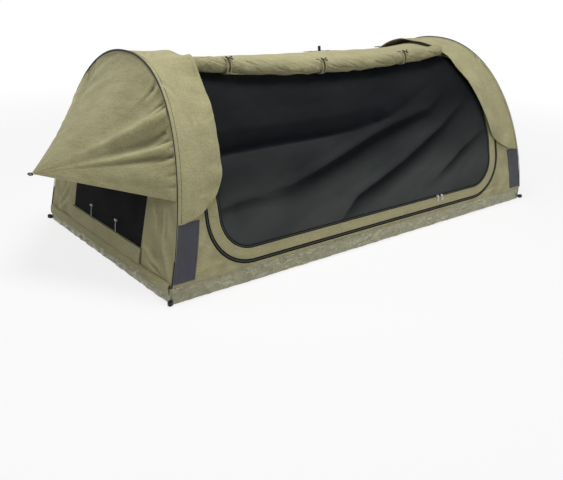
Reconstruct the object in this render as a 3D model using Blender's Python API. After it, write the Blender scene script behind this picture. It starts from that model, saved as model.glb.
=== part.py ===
"""Dome swag bedroll, standing open: a ground tub with a mattress, two leaning hoop poles, a canvas skin
with a mesh door and its canvas door rolled up along the ridge, hoods and visors at both ends.

Metres, +Z up. +X runs along the bed to the head end, -Y is the door side, the floor is at Z = 0.
"""

import math

import bmesh
import bpy
from mathutils import Matrix, Vector

# Overall sizes
BASE_LENGTH = 2.150
BASE_WIDTH = 1.100
HOOP_HEIGHT = 0.800
HOOP_INSET = 0.006
HOOP_LEAN = 0.146
RIDGE_SAG = 0.040
TUB_HEIGHT = 0.062

# Curve of the skin's cross-section: 2 is an ellipse, more is squarer, less is more pointed
HOOP_POWER = 2.24
MIDDLE_POWER = 1.70
SAG_POWER = 3
SAG_SPREAD = 4

# Cloth thicknesses and clearances
CANVAS = 0.0025
MESH_CLOTH = 0.0016
PVC = 0.0030
WEBBING = 0.0020
SEAM_GAP = 0.0004
LAP_GAP = 0.0012
HINGE_GAP = 0.0020

# Mattress
MATTRESS_END_GAP = 0.035
MATTRESS_SIDE_GAP = 0.050
MATTRESS_LENGTH = BASE_LENGTH - 2 * MATTRESS_END_GAP
MATTRESS_WIDTH = BASE_WIDTH - 2 * MATTRESS_SIDE_GAP
MATTRESS_EDGE = 0.040
MATTRESS_CROWN = 0.008
MATTRESS_CORNER = 0.060

# Hoop poles, their sleeves and the seats they turn in
POLE_RADIUS = 0.0055
POLE_SLEEVE_RADIUS = 0.0074
POLE_SLEEVE_BORE = 0.0059
POLE_SLEEVE_LENGTH = 0.070
POLE_SKIN_INSET = 0.0135
POLE_FOOT_RADIUS = 0.0080
POLE_FOOT_WIDTH = 0.0160
POLE_RUNNING_GAP = 0.0005
SEAT_LENGTH = 0.0205
SEAT_WIDTH = 0.0180
SEAT_LIP = 0.0062

# Door: mesh outline, its zip, the canvas border and the outer zip, measured along the cloth
DOOR_X = -0.028
DOOR_TO_BASE_END = 0.263
DOOR_HALF_WIDTH = BASE_LENGTH / 2 - DOOR_TO_BASE_END
DOOR_FOOT_GIRTH = 0.146
DOOR_CORNER = 0.130
DOOR_CROWN_CORNER = 0.120
DOOR_TOP_TO_RIDGE = 0.190
MESH_ZIP_WIDTH = 0.012
BORDER_WIDTH = 0.042
OUTER_ZIP_WIDTH = 0.016
ZIP_THICKNESS = 0.0034
REAR_SEAM_TO_RIDGE = 0.250

# Main folds of the closed mesh door: a crest above each line and a hollow below it. Each line is written in
# shares of the door's half width, from its middle, and of its height up the cloth, from its foot
MESH_FOLD_DEPTH = 0.009
MESH_FOLD_WIDTH = 0.034
MESH_FOLD_FADE = 0.070
MESH_FOLD_SHARES = (
    ((-1, 0.52), (-0.73, 0.55), (-0.46, 0.56), (-0.04, 0.59), (0.15, 0.61), (0.29, 0.65), (0.51, 0.75)),
    ((-0.73, 0.23), (-0.38, 0.30), (-0.17, 0.38), (0.06, 0.46), (0.25, 0.52), (0.57, 0.58), (0.73, 0.67)),
    ((-0.25, 0.01), (0.04, 0.17), (0.26, 0.26), (0.46, 0.35), (0.78, 0.53), (0.90, 0.59)),
    ((0.45, 0.07), (0.65, 0.18), (0.79, 0.26), (0.97, 0.35)),
)

# Zip sliders and their pulls
SLIDER_LENGTH = 0.013
SLIDER_WIDTH = 0.010
SLIDER_HEIGHT = 0.0060
SLIDER_TAPER_SHARE = 0.62
SLIDER_BEVEL_SHARE = 0.2
LEFT_SLIDER_X = 0.372
RIGHT_SLIDER_X = 0.404
EAR_HEIGHT = 0.0036
EAR_WIDTH = 0.0014
EAR_PIN_SHARE = 0.55
PULL_LENGTH = 0.030
PULL_WIDTH = 0.0080
PULL_THICKNESS = 0.0014
PULL_PIN_RADIUS = 0.0011
PULL_NECK_SHARE = 0.62
PULL_WALL_SHARE = 0.28
PULL_LAP_SHARE = 0.2
PULL_LEAN_DEG = 4.0

# Rolled door
ROLL_RADIUS = 0.0355
ROLL_END_SHARE = {"foot": 0.72, "head": 0.90}
ROLL_TAPER_POWER = 16
ROLL_PINCH_SHARE = 0.92
ROLL_X = -0.0475
ROLL_TO_DOOR_EDGE = 0.0695
ROLL_HALF_LENGTH = DOOR_HALF_WIDTH - ROLL_TO_DOOR_EDGE
ROLL_Y = -0.187
ROLL_LAP = 0.0040
ROLL_STEPS = 44
ROLL_SIDES = 18
TIE_SHARES = (-0.7468, -0.0842, 0.6189)
TIE_PLACES = tuple(ROLL_X + share * ROLL_HALF_LENGTH for share in TIE_SHARES)
TIE_NAMES = ("foot", "middle", "head")
TIE_WIDTH = 0.018
TIE_PINCH_LENGTH = 0.045
TOGGLE_LENGTH = 0.036
TOGGLE_RADIUS = 0.0045
TOGGLE_WAIST_SHARE = 0.6
TOGGLE_LENGTH_SHARES = (-1, -0.85, -0.55, 0.55, 0.85, 1)
TOGGLE_RADIUS_SHARES = (0.6, 1, TOGGLE_WAIST_SHARE, TOGGLE_WAIST_SHARE, 1, 0.6)
TOGGLE_TURN_DEG = -38.0

# Hoods over the hoops
HOOD_WIDTH = {"foot": 0.175, "head": 0.214}
HOOD_CROWN_WIDTH = {"foot": 0.185, "head": 0.200}
HOOD_CROWN_POWER = 6
HOOD_FOOT_GIRTH = 0.282
HOOD_CORNER = 0.165
HOOD_FOOT_SHARE = 0.16
HOOD_ROOT_LIFT = 0.0046
HOOD_EDGE_LIFT = {"foot": 0.017, "head": 0.022}
HOOD_LIFT_POWER = 1.2
HOOD_STEPS = 5

# The hood's edge at the foot end rides up over the end of the rolled door
HOOD_BULGE = {"foot": 0.053, "head": 0.0}
HOOD_BULGE_DRAW = {"foot": 0.020, "head": 0.0}
HOOD_BULGE_TO_RIDGE = 0.194
HOOD_BULGE_WIDTH = 0.055
HOOD_BULGE_STEPS = 12

# Visors over the end windows
VISOR_REACH = 0.245
VISOR_TIP_HEIGHT = 0.386
VISOR_ROOT_GIRTH = 0.362
VISOR_ROOT_GAP = 0.0018
VISOR_TIP_SHARE = 0.985
VISOR_HOLLOW = 0.020
VISOR_HOLLOW_POWER = 0.7
TIP_LOOP_LENGTH = 0.018
TIP_LOOP_WIDTH = 0.016
TIP_LOOP_DEPTH = 0.009

# End windows
WINDOW_WIDTH = 0.610
WINDOW_FOOT = 0.132
WINDOW_TOP = 0.600
WINDOW_CROWN_CORNER = 0.200
COVER_THICKNESS = 0.0080
COVER_OVERHANG = 0.010
COVER_ROUND_SHARE = 0.4
COVER_FOOT = 0.0745
KNOB_PLACES = (-0.100, 0.125)
KNOB_NAMES = ("near", "far")
KNOB_HEIGHT = 0.048
KNOB_RADIUS = 0.0050
KNOB_LENGTH = 0.017
KNOB_LENGTH_SHARES = (-1, -0.6, 0.6, 1)
KNOB_RADIUS_SHARES = (0.7, 1, 1, 0.7)
KNOB_CORD_RADIUS = 0.0017
KNOB_STANDOFF = 0.0075

# Corner patches, peg loops and the strap on the ridge
PATCH_WIDTH = 0.086
PATCH_FOOT_GIRTH = 0.075
PATCH_TOP_GIRTH = 0.286
PATCH_THICKNESS = 0.0012
PATCH_EDGE_INSET = 0.001
PEG_LOOP_REACH = 0.024
PEG_LOOP_WIDTH = 0.019
PEG_LOOP_HEIGHT = 0.014
PEG_LOOP_FOOT = 0.007
RIDGE_STRAP_LENGTH = 0.148
RIDGE_STRAP_WIDTH = 0.024
RIDGE_STRAP_X = 0.075
RIDGE_STRAP_Y = 0.022
RIDGE_LOOP_OFFSET = 0.016
RIDGE_LOOP_HEIGHT = 0.024
RIDGE_LOOP_WIDTH = 0.012
RIDGE_LOOP_DEPTH = 0.011
RIDGE_TAB_X = 0.490
RIDGE_TAB_SIZE = (0.036, 0.014, 0.006)

# Numbers of steps
HALF_ARCH_STEPS = 16
LENGTH_STEPS = 20
CROWN_STEPS = 5
SIDE_STEPS = 8
MESH_SIDE_STEPS = 14
MESH_LENGTH_STEPS = 24
CORNER_STEPS = 6
FOOT_STEPS = 12
POLE_SIDES = 8
POLE_STEPS_PER_PIECE = 12
ROUND_SIDES = 12

HALF_LENGTH = BASE_LENGTH / 2
HALF_WIDTH = BASE_WIDTH / 2
ENDS = {"foot": -1, "head": 1}
SIDES = {"near": -1, "far": 1}

MATERIALS = {
    "canvas": ((0.35, 0.33, 0.22), 0.85, 0.0),
    "canvas_shade": ((0.30, 0.28, 0.18), 0.85, 0.0),
    "mesh": ((0.015, 0.018, 0.024), 0.8, 0.0),
    "pvc": ((0.30, 0.31, 0.25), 0.4, 0.0),
    "patch": ((0.07, 0.07, 0.09), 0.7, 0.0),
    "zip": ((0.01, 0.01, 0.012), 0.5, 0.0),
    "metal": ((0.62, 0.62, 0.60), 0.3, 1.0),
    "pole": ((0.55, 0.56, 0.58), 0.35, 1.0),
    "webbing": ((0.02, 0.02, 0.02), 0.8, 0.0),
    "plastic": ((0.03, 0.03, 0.03), 0.5, 0.0),
    "cord": ((0.55, 0.56, 0.54), 0.6, 0.0),
    "foam": ((0.42, 0.42, 0.40), 0.9, 0.0),
}


def clear_scene():
    for item in list(bpy.data.objects):
        bpy.data.objects.remove(item, do_unlink=True)


def material(name):
    found = bpy.data.materials.get(name)
    if found:
        return found
    colour, roughness, metallic = MATERIALS[name]
    found = bpy.data.materials.new(name)
    found.use_nodes = True
    shader = found.node_tree.nodes["Principled BSDF"]
    shader.inputs["Base Color"].default_value = (*colour, 1)
    shader.inputs["Roughness"].default_value = roughness
    shader.inputs["Metallic"].default_value = metallic
    return found


def add_object(name, bm, look, smooth=True):
    """Turns a bmesh into a named object whose faces point out."""
    bmesh.ops.recalc_face_normals(bm, faces=bm.faces[:])
    mesh = bpy.data.meshes.new(name)
    bm.to_mesh(mesh)
    bm.free()
    if smooth:
        mesh.shade_smooth()
        mesh.set_sharp_from_angle(angle=math.radians(40))
    mesh.materials.append(material(look))
    item = bpy.data.objects.new(name, mesh)
    bpy.context.scene.collection.objects.link(item)
    return item


def add_pivot(name, place, pieces):
    """An empty on a joint's axis, which carries the pieces that move with it."""
    pivot = bpy.data.objects.new(name, None)
    pivot.location = place
    bpy.context.scene.collection.objects.link(pivot)
    bpy.context.view_layer.update()
    for piece in pieces:
        piece.parent = pivot
        piece.matrix_parent_inverse = pivot.matrix_world.inverted()
    return pivot


# The skin: a cross-section that changes from hoop to middle, seen from the axis of the bed
def section(direction, power):
    """(across, up) as shares of the half width and the height, in a direction from 0, near, to pi, far."""
    across = math.cos(direction)
    up = math.sin(direction)
    reach = (abs(across) ** power + abs(up) ** power) ** (-1 / power)
    return -across * reach, up * reach


def hoop_reach(up_share):
    """Half length of the skin at a height, as the hoops lean inwards from the tub's top."""
    return HALF_LENGTH - HOOP_INSET - HOOP_LEAN * (up_share * HOOP_HEIGHT - TUB_HEIGHT) / (HOOP_HEIGHT - TUB_HEIGHT)


def slack(x, up_share, spread_power=2):
    """1 halfway between the hoops and 0 at them."""
    along = abs(x) / hoop_reach(up_share)
    return max(0.0, 1 - along**spread_power)


def skin_centre(x, direction, taut=False):
    """Point on the middle of the skin. A taut sheet has no sag between the hoops."""
    across, up = section(direction, HOOP_POWER)
    if taut:
        return Vector((x, across * HALF_WIDTH, up * HOOP_HEIGHT))
    loose = slack(x, up)
    power = HOOP_POWER + (MIDDLE_POWER - HOOP_POWER) * loose
    sag = RIDGE_SAG * slack(x, up, SAG_SPREAD)
    across, up = section(direction, power)
    return Vector((x, across * HALF_WIDTH, up * HOOP_HEIGHT - sag * up**SAG_POWER))


def skin_normal(x, direction):
    turn = 0.004
    step = turn * HALF_WIDTH
    low = min(max(direction - turn, 0), math.pi)
    high = min(max(direction + turn, 0), math.pi)
    around = skin_centre(x, high) - skin_centre(x, low)
    along = skin_centre(x + step, direction) - skin_centre(x - step, direction)
    return along.cross(around).normalized()


def skin(x, direction, lift=0.0):
    return skin_centre(x, direction) + skin_normal(x, direction) * lift


def crest(x, y):
    """Height of the skin's middle above a place near the ridge."""
    loose = slack(x, 1)
    power = HOOP_POWER + (MIDDLE_POWER - HOOP_POWER) * loose
    up = (1 - (abs(y) / HALF_WIDTH) ** power) ** (1 / power)
    return up * HOOP_HEIGHT - RIDGE_SAG * slack(x, up, SAG_SPREAD) * up**SAG_POWER


def crest_normal(x, y):
    step = CANVAS
    rise = crest(x, y + step) - crest(x, y - step)
    return Vector((0, -rise, 2 * step)).normalized()


def measure_girth():
    """Lengths along the hoop's curve from the floor, for even steps of direction up to the ridge."""
    count = 200
    lengths = [0.0]
    last = skin_centre(0, 0, taut=True)
    for step in range(1, count + 1):
        point = skin_centre(0, step / count * math.pi / 2, taut=True)
        lengths.append(lengths[-1] + (point - last).length)
        last = point
    return lengths


GIRTHS = measure_girth()
RIDGE_GIRTH = GIRTHS[-1]


def direction_at(girth):
    """Direction of a place on the hoop's curve, by its length along the cloth from the near floor edge."""
    if girth > RIDGE_GIRTH:
        return math.pi - direction_at(2 * RIDGE_GIRTH - girth)
    for step in range(1, len(GIRTHS)):
        if girth <= GIRTHS[step]:
            part = (girth - GIRTHS[step - 1]) / (GIRTHS[step] - GIRTHS[step - 1])
            return (step - 1 + part) / (len(GIRTHS) - 1) * math.pi / 2
    return math.pi / 2


def girth_at_height(height):
    """Length along the hoop's curve from the near floor edge up to a height."""
    last = 0.0
    for step in range(1, len(GIRTHS)):
        z = skin_centre(0, step / (len(GIRTHS) - 1) * math.pi / 2, taut=True).z
        if z >= height:
            return GIRTHS[step - 1] + (GIRTHS[step] - GIRTHS[step - 1]) * (height - last) / (z - last)
        last = z
    return RIDGE_GIRTH


def end_x(direction):
    """Half length of the side cloth, which stops at the inside of the end walls."""
    up = section(direction, HOOP_POWER)[1]
    return hoop_reach(up) - CANVAS - SEAM_GAP


def spread(start, stop, count):
    return [start + (stop - start) * step / count for step in range(count + 1)]


# Sheets as closed solids
def slab(name, outer, inner, look):
    """A closed sheet between two grids of points with as many rows and columns."""
    rows = len(outer)
    columns = len(outer[0])
    bm = bmesh.new()
    top = [[bm.verts.new(point) for point in row] for row in outer]
    under = [[bm.verts.new(point) for point in row] for row in inner]
    for grid in (top, under):
        for i in range(rows - 1):
            for j in range(columns - 1):
                bm.faces.new((grid[i][j], grid[i][j + 1], grid[i + 1][j + 1], grid[i + 1][j]))
    rim = [(0, j) for j in range(columns - 1)] + [(i, columns - 1) for i in range(rows - 1)]
    rim += [(rows - 1, j) for j in range(columns - 1, 0, -1)] + [(i, 0) for i in range(rows - 1, 0, -1)]
    for here, there in zip(rim, rim[1:] + rim[:1]):
        bm.faces.new(
            (top[here[0]][here[1]], top[there[0]][there[1]], under[there[0]][there[1]], under[here[0]][here[1]])
        )
    return add_object(name, bm, look)


def skin_sheet(name, rows, thickness, look, lift=0.0):
    """A sheet on the skin, from rows of (x, direction)."""
    outer = [[skin(x, direction, lift + thickness / 2) for x, direction in row] for row in rows]
    inner = [[skin(x, direction, lift - thickness / 2) for x, direction in row] for row in rows]
    return slab(name, outer, inner, look)


def swept(name, centres, frames, radii, look, sides=POLE_SIDES):
    """A round body along a path: one ring of that radius at each centre, closed at both ends."""
    bm = bmesh.new()
    rings = []
    for centre, (first, second), radius in zip(centres, frames, radii):
        ring = []
        for step in range(sides):
            turn = 2 * math.pi * step / sides
            ring.append(bm.verts.new(centre + (first * math.cos(turn) + second * math.sin(turn)) * radius))
        rings.append(ring)
    for ring, following in zip(rings, rings[1:]):
        for step in range(sides):
            after = (step + 1) % sides
            bm.faces.new((ring[step], ring[after], following[after], following[step]))
    bm.faces.new(rings[0])
    bm.faces.new(rings[-1])
    return add_object(name, bm, look)


def box(name, size, look, matrix=Matrix.Identity(4), bevel=0.0):
    bm = bmesh.new()
    bmesh.ops.create_cube(bm, size=1, matrix=matrix @ Matrix.Diagonal((*size, 1)))
    if bevel:
        bmesh.ops.bevel(bm, geom=bm.edges[:], offset=bevel, segments=1, affect="EDGES")
    return add_object(name, bm, look, smooth=False)


def prism(name, outline, place, depth, look):
    """A plate from a closed outline: place(u, v, depth) puts a point of it in space."""
    bm = bmesh.new()
    front = [bm.verts.new(place(u, v, 0)) for u, v in outline]
    back = [bm.verts.new(place(u, v, depth)) for u, v in outline]
    bm.faces.new(front)
    bm.faces.new(back)
    for step in range(len(outline)):
        after = (step + 1) % len(outline)
        bm.faces.new((front[step], front[after], back[after], back[step]))
    return add_object(name, bm, look, smooth=False)


def hollow_prism(name, outside, inside, place, depth, look):
    """A plate with a hole, from two outlines with as many points."""
    count = len(outside)
    bm = bmesh.new()
    loops = []
    for outline in (outside, inside):
        for level in (0, depth):
            loops.append([bm.verts.new(place(u, v, level)) for u, v in outline])
    outer_front, outer_back, inner_front, inner_back = loops
    for step in range(count):
        after = (step + 1) % count
        for one, other in (
            (outer_front, inner_front),
            (outer_back, inner_back),
            (outer_front, outer_back),
            (inner_front, inner_back),
        ):
            bm.faces.new((one[step], one[after], other[after], other[step]))
    return add_object(name, bm, look, smooth=False)


def join_solids(first, *others):
    """Fuses solids that overlap into the first one."""
    for other in others:
        union = first.modifiers.new("join", "BOOLEAN")
        union.operation = "UNION"
        union.object = other
    bpy.context.view_layer.update()
    graph = bpy.context.evaluated_depsgraph_get()
    mesh = bpy.data.meshes.new_from_object(first.evaluated_get(graph))
    first.modifiers.clear()
    first.data = mesh
    for other in others:
        bpy.data.objects.remove(other, do_unlink=True)
    return first


# Ground tub and mattress
def rounded_rectangle(length, width, radius, steps=4):
    points = []
    for corner, (sx, sy) in enumerate(((1, 1), (-1, 1), (-1, -1), (1, -1))):
        for step in range(steps + 1):
            turn = (corner + step / steps) * math.pi / 2
            x = sx * (length / 2 - radius) + radius * math.cos(turn)
            y = sy * (width / 2 - radius) + radius * math.sin(turn)
            points.append((x, y))
    return points


def build_tub():
    """A tray with an open top: floor and low wall in one welded PVC skin."""
    corner = 4 * PVC
    outside = rounded_rectangle(BASE_LENGTH, BASE_WIDTH, corner)
    inside = rounded_rectangle(BASE_LENGTH - 2 * PVC, BASE_WIDTH - 2 * PVC, corner - PVC)
    levels = ((outside, 0), (outside, TUB_HEIGHT), (inside, TUB_HEIGHT), (inside, PVC))
    bm = bmesh.new()
    loops = [[bm.verts.new((x, y, z)) for x, y in outline] for outline, z in levels]
    for loop, following in zip(loops, loops[1:]):
        for step in range(len(loop)):
            after = (step + 1) % len(loop)
            bm.faces.new((loop[step], loop[after], following[after], following[step]))
    bm.faces.new(loops[0])
    bm.faces.new(loops[-1])
    return add_object("ground_tub", bm, "pvc", smooth=False)


def build_mattress():
    """A foam slab with rounded edges and a low crown."""
    inset = MATTRESS_EDGE / 4
    base = PVC + SEAM_GAP
    rows = (
        (inset, base),
        (0, base + inset),
        (0, base + MATTRESS_EDGE - inset),
        (inset, base + MATTRESS_EDGE),
        (MATTRESS_CORNER * 2, base + MATTRESS_EDGE + MATTRESS_CROWN * 3 / 4),
        (MATTRESS_WIDTH / 3, base + MATTRESS_EDGE + MATTRESS_CROWN),
    )
    bm = bmesh.new()
    loops = []
    for shrink, z in rows:
        radius = max(MATTRESS_CORNER - shrink, inset)
        outline = rounded_rectangle(MATTRESS_LENGTH - 2 * shrink, MATTRESS_WIDTH - 2 * shrink, radius)
        loops.append([bm.verts.new((x, y, z)) for x, y in outline])
    for loop, following in zip(loops, loops[1:]):
        for step in range(len(loop)):
            after = (step + 1) % len(loop)
            bm.faces.new((loop[step], loop[after], following[after], following[step]))
    bm.faces.new(loops[0])
    bm.faces.new(loops[-1])
    return add_object("mattress", bm, "foam")


# Hoop poles
HINGE_Z = TUB_HEIGHT + POLE_FOOT_RADIUS / 4
LEAN_ANGLE = math.atan2(HOOP_LEAN, HOOP_HEIGHT - TUB_HEIGHT)


def end_place(end, y, z, depth=0.0):
    """Point in an end's leaning plane. Depth is measured inwards from the outer face of the end wall."""
    sign = ENDS[end]
    x = hoop_reach(z / HOOP_HEIGHT) - depth * math.cos(LEAN_ANGLE)
    return Vector((sign * x, y, z - depth * math.sin(LEAN_ANGLE)))


POLE_DEPTH = CANVAS + SEAM_GAP + POLE_SLEEVE_RADIUS + SEAM_GAP


def pole_point(end, share):
    """Centre of the hoop pole, from its near foot at share 0 to its far foot at share 1."""
    foot_direction = direction_at(girth_at_height(HINGE_Z))
    direction = foot_direction + (math.pi - 2 * foot_direction) * share
    across, up = section(direction, HOOP_POWER)
    y = across * (HALF_WIDTH - POLE_SKIN_INSET)
    z = HINGE_Z + (up * HOOP_HEIGHT - HINGE_Z) * (HOOP_HEIGHT - POLE_SKIN_INSET - HINGE_Z) / (HOOP_HEIGHT - HINGE_Z)
    point = end_place(end, y, z)
    inward = Vector((-ENDS[end], 0, 0)) * POLE_DEPTH / math.cos(LEAN_ANGLE)
    return point + inward


def pole_frames(end, shares):
    """At each share along the pole, two directions square to it: in the hoop's plane and out of it."""
    plane_normal = Vector((ENDS[end] * math.cos(LEAN_ANGLE), 0, math.sin(LEAN_ANGLE)))
    step = 0.002
    frames = []
    for share in shares:
        tangent = (pole_point(end, share + step) - pole_point(end, share - step)).normalized()
        frames.append((plane_normal.cross(tangent).normalized(), plane_normal))
    return frames


def pole_length(end):
    points = [pole_point(end, share) for share in spread(0, 1, 200)]
    return sum((b - a).length for a, b in zip(points, points[1:]))


def build_pole(end):
    """Three pieces of tube: the middle one has a sleeve at each end, into which the outer ones go."""
    per_metre = 1 / pole_length(end)
    sleeve = POLE_SLEEVE_LENGTH * per_metre
    gap = POLE_RUNNING_GAP * per_metre
    joints = (1 / 3, 2 / 3)
    pieces = []
    mouth = joints[0] - sleeve / 2
    bottom = joints[0] + sleeve / 2
    step = gap
    lower = [bottom - step, mouth, mouth, bottom + step, bottom + 2 * step]
    radii = [POLE_SLEEVE_BORE, POLE_SLEEVE_BORE, POLE_SLEEVE_RADIUS, POLE_SLEEVE_RADIUS, POLE_RADIUS]
    between = spread(lower[-1], 1 - lower[-1], POLE_STEPS_PER_PIECE)[1:-1]
    shares = lower + between + [1 - share for share in reversed(lower)]
    widths = radii + [POLE_RADIUS] * len(between) + list(reversed(radii))
    pieces.append(
        swept(
            f"{end}_pole_middle",
            [pole_point(end, share) for share in shares],
            pole_frames(end, shares),
            widths,
            "pole",
        )
    )
    for side, sign in SIDES.items():
        shares = spread(POLE_FOOT_RADIUS / 2 * per_metre, mouth, POLE_STEPS_PER_PIECE)
        shares.append(bottom - 2 * step)
        if sign > 0:
            shares = [1 - share for share in shares]
        tube = swept(
            f"{end}_pole_{side}",
            [pole_point(end, share) for share in shares],
            pole_frames(end, shares),
            [POLE_RADIUS] * len(shares),
            "pole",
        )
        foot = pole_point(end, 0 if sign < 0 else 1)
        ring = [foot + Vector((0, half * POLE_FOOT_WIDTH / 2, 0)) for half in (-1, 1)]
        frame = (Vector((1, 0, 0)), Vector((0, 0, 1)))
        knuckle = swept("knuckle", ring, [frame, frame], [POLE_FOOT_RADIUS] * 2, "pole", ROUND_SIDES)
        pieces.append(join_solids(tube, knuckle))
    return pieces


def build_pole_seat(end, side):
    """A corner post on the tub's floor with a half-round cradle, in which the pole's foot turns."""
    foot = pole_point(end, 0 if side == "near" else 1)
    floor = PVC + SEAM_GAP
    radius = POLE_FOOT_RADIUS + POLE_RUNNING_GAP
    half = SEAT_LENGTH / 2
    outline = [(-half, floor), (half, floor), (half, foot.z - SEAT_LIP)]
    lip = math.asin(SEAT_LIP / radius)
    for turn in spread(-lip, -math.pi + lip, 8):
        outline.append((radius * math.cos(turn), foot.z + radius * math.sin(turn)))
    outline.append((-half, foot.z - SEAT_LIP))
    return prism(
        f"pole_seat_{end}_{side}",
        outline,
        lambda u, v, depth: Vector((foot.x + u, foot.y - SEAT_WIDTH / 2 + depth, v)),
        SEAT_WIDTH,
        "plastic",
    )


# Side cloth with the door
FOOT_GIRTH = girth_at_height(TUB_HEIGHT) + LAP_GAP
DOOR_TOP_GIRTH = RIDGE_GIRTH - DOOR_TOP_TO_RIDGE
BORDER_START = MESH_ZIP_WIDTH + SEAM_GAP
BORDER_END = BORDER_START + BORDER_WIDTH
OUTER_ZIP_START = BORDER_END + SEAM_GAP
OUTER_ZIP_END = OUTER_ZIP_START + OUTER_ZIP_WIDTH
PANEL_START = OUTER_ZIP_END + SEAM_GAP


def half_door_path(offset, side_steps=SIDE_STEPS):
    """(x, girth) along the left half of the door's outline, about its own middle, from its top to its foot."""
    crown_x = DOOR_CROWN_CORNER - DOOR_HALF_WIDTH
    crown_g = DOOR_TOP_GIRTH - DOOR_CROWN_CORNER
    crown_radius = DOOR_CROWN_CORNER + offset
    start = math.pi - math.asin(min(1, DOOR_CROWN_CORNER / crown_radius))
    points = []
    for turn in spread(start, math.pi, CROWN_STEPS):
        points.append((crown_x + crown_radius * math.cos(turn), crown_g + crown_radius * math.sin(turn)))
    corner_x = DOOR_CORNER - DOOR_HALF_WIDTH
    corner_g = DOOR_FOOT_GIRTH + DOOR_CORNER
    corner_radius = DOOR_CORNER + offset
    for girth in spread(crown_g, corner_g, side_steps)[1:-1]:
        points.append((-DOOR_HALF_WIDTH - offset, girth))
    for turn in spread(math.pi, 1.5 * math.pi, CORNER_STEPS):
        points.append((corner_x + corner_radius * math.cos(turn), corner_g + corner_radius * math.sin(turn)))
    return points


def door_path(offset):
    """The whole outline in its place on the skin, open at the top."""
    half = half_door_path(offset)
    girth = half[-1][1]
    run = [(x, girth) for x in spread(half[-1][0], -half[-1][0], FOOT_STEPS)[1:-1]]
    whole = half + run + [(-x, girth) for x, girth in reversed(half)]
    return [(DOOR_X + x, girth) for x, girth in whole]


def door_band(name, start, stop, thickness, look, lift=0.0):
    """A strip that follows the door's outline between two offsets from the mesh's edge."""
    rows = []
    for inner, outer in zip(door_path(start), door_path(stop)):
        rows.append([(x, direction_at(girth)) for x, girth in (inner, outer)])
    return skin_sheet(name, rows, thickness, look, lift)


def above_line(x, girth, line):
    """Signed distance up the cloth from a line of (x, girth) points."""
    nearest = BASE_LENGTH
    for (xa, ga), (xb, gb) in zip(line, line[1:]):
        run = Vector((xb - xa, gb - ga))
        off = Vector((x - xa, girth - ga))
        share = min(max(off.dot(run) / run.length_squared, 0), 1)
        gap = (off - run * share).length
        if gap < abs(nearest):
            nearest = math.copysign(gap, run.x * off.y - run.y * off.x)
    return nearest


def mesh_fold_lift(x, girth, to_side):
    """How far the mesh door's folds stand off the skin. They fade out towards its edges."""
    height = DOOR_TOP_GIRTH - DOOR_FOOT_GIRTH
    fade = min(to_side, girth - DOOR_FOOT_GIRTH, DOOR_TOP_GIRTH - girth) / MESH_FOLD_FADE
    fade = min(max(fade, 0), 1)
    lift = 0.0
    for shares in MESH_FOLD_SHARES:
        line = [(DOOR_X + u * DOOR_HALF_WIDTH, DOOR_FOOT_GIRTH + v * height) for u, v in shares]
        above = above_line(x, girth, line) / MESH_FOLD_WIDTH
        lift += MESH_FOLD_DEPTH * (math.exp(-((above - 1) ** 2)) - math.exp(-((above + 1) ** 2)))
    return lift * fade * fade * (3 - 2 * fade)


def build_mesh_door():
    outer = []
    inner = []
    for edge, girth in half_door_path(-SEAM_GAP, MESH_SIDE_STEPS):
        top_row = []
        under_row = []
        for across in spread(edge, -edge, MESH_LENGTH_STEPS):
            x = DOOR_X + across
            lift = mesh_fold_lift(x, girth, -edge - abs(across))
            top_row.append(skin(x, direction_at(girth), lift + MESH_CLOTH / 2))
            under_row.append(skin(x, direction_at(girth), lift - MESH_CLOTH / 2))
        outer.append(top_row)
        inner.append(under_row)
    return slab("mesh_door", outer, inner, "mesh")


def build_front_panel():
    """Canvas from the outer zip to the hoops and down to the tub, on both sides of the door and under it."""
    inner = door_path(PANEL_START)
    corner_end = len(half_door_path(PANEL_START)) - 1
    corner_girth = DOOR_FOOT_GIRTH + DOOR_CORNER
    foot_edge = end_x(direction_at(FOOT_GIRTH))
    outer = []
    for index, (x, girth) in enumerate(inner):
        right = index > len(inner) / 2
        side = 1 if right else -1
        from_top = len(inner) - 1 - index if right else index
        turned = (from_top - corner_end + CORNER_STEPS) / CORNER_STEPS
        if from_top > corner_end:
            outer.append((x, FOOT_GIRTH))
        elif turned > 0.5:
            run_start = inner[-1 - corner_end if right else corner_end][0]
            edge = side * foot_edge
            outer.append((edge + (run_start - edge) * (2 * turned - 1), FOOT_GIRTH))
        else:
            level = corner_girth + (FOOT_GIRTH - corner_girth) * 2 * turned if turned > 0 else girth
            outer.append((side * end_x(direction_at(level)), level))
    rows = []
    for (xa, ga), (xb, gb) in zip(inner, outer):
        row = []
        for share in spread(0, 1, 2):
            girth = ga + (gb - ga) * share
            row.append((xa + (xb - xa) * share, direction_at(girth)))
        rows.append(row)
    return skin_sheet("front_panel", rows, CANVAS, "canvas")


def build_side_sheet(name, low, high, steps):
    """A canvas panel from hoop to hoop between two girths."""
    rows = []
    for girth in spread(low, high, steps):
        direction = direction_at(girth)
        reach = end_x(direction)
        rows.append([(x, direction) for x in spread(-reach, reach, LENGTH_STEPS)])
    return skin_sheet(name, rows, CANVAS, "canvas")


# End walls
def arch_outline(shrink, low, steps):
    """The hoop's curve, drawn in by shrink, as (y, z) from the near side over the top to the far side."""
    start = direction_at(girth_at_height(low))
    points = []
    for direction in spread(start, math.pi - start, steps):
        across, up = section(direction, HOOP_POWER)
        points.append((across * (HALF_WIDTH - shrink), max(up * (HOOP_HEIGHT - shrink), low)))
    points[0] = (points[0][0], low)
    points[-1] = (points[-1][0], low)
    return points


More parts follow.
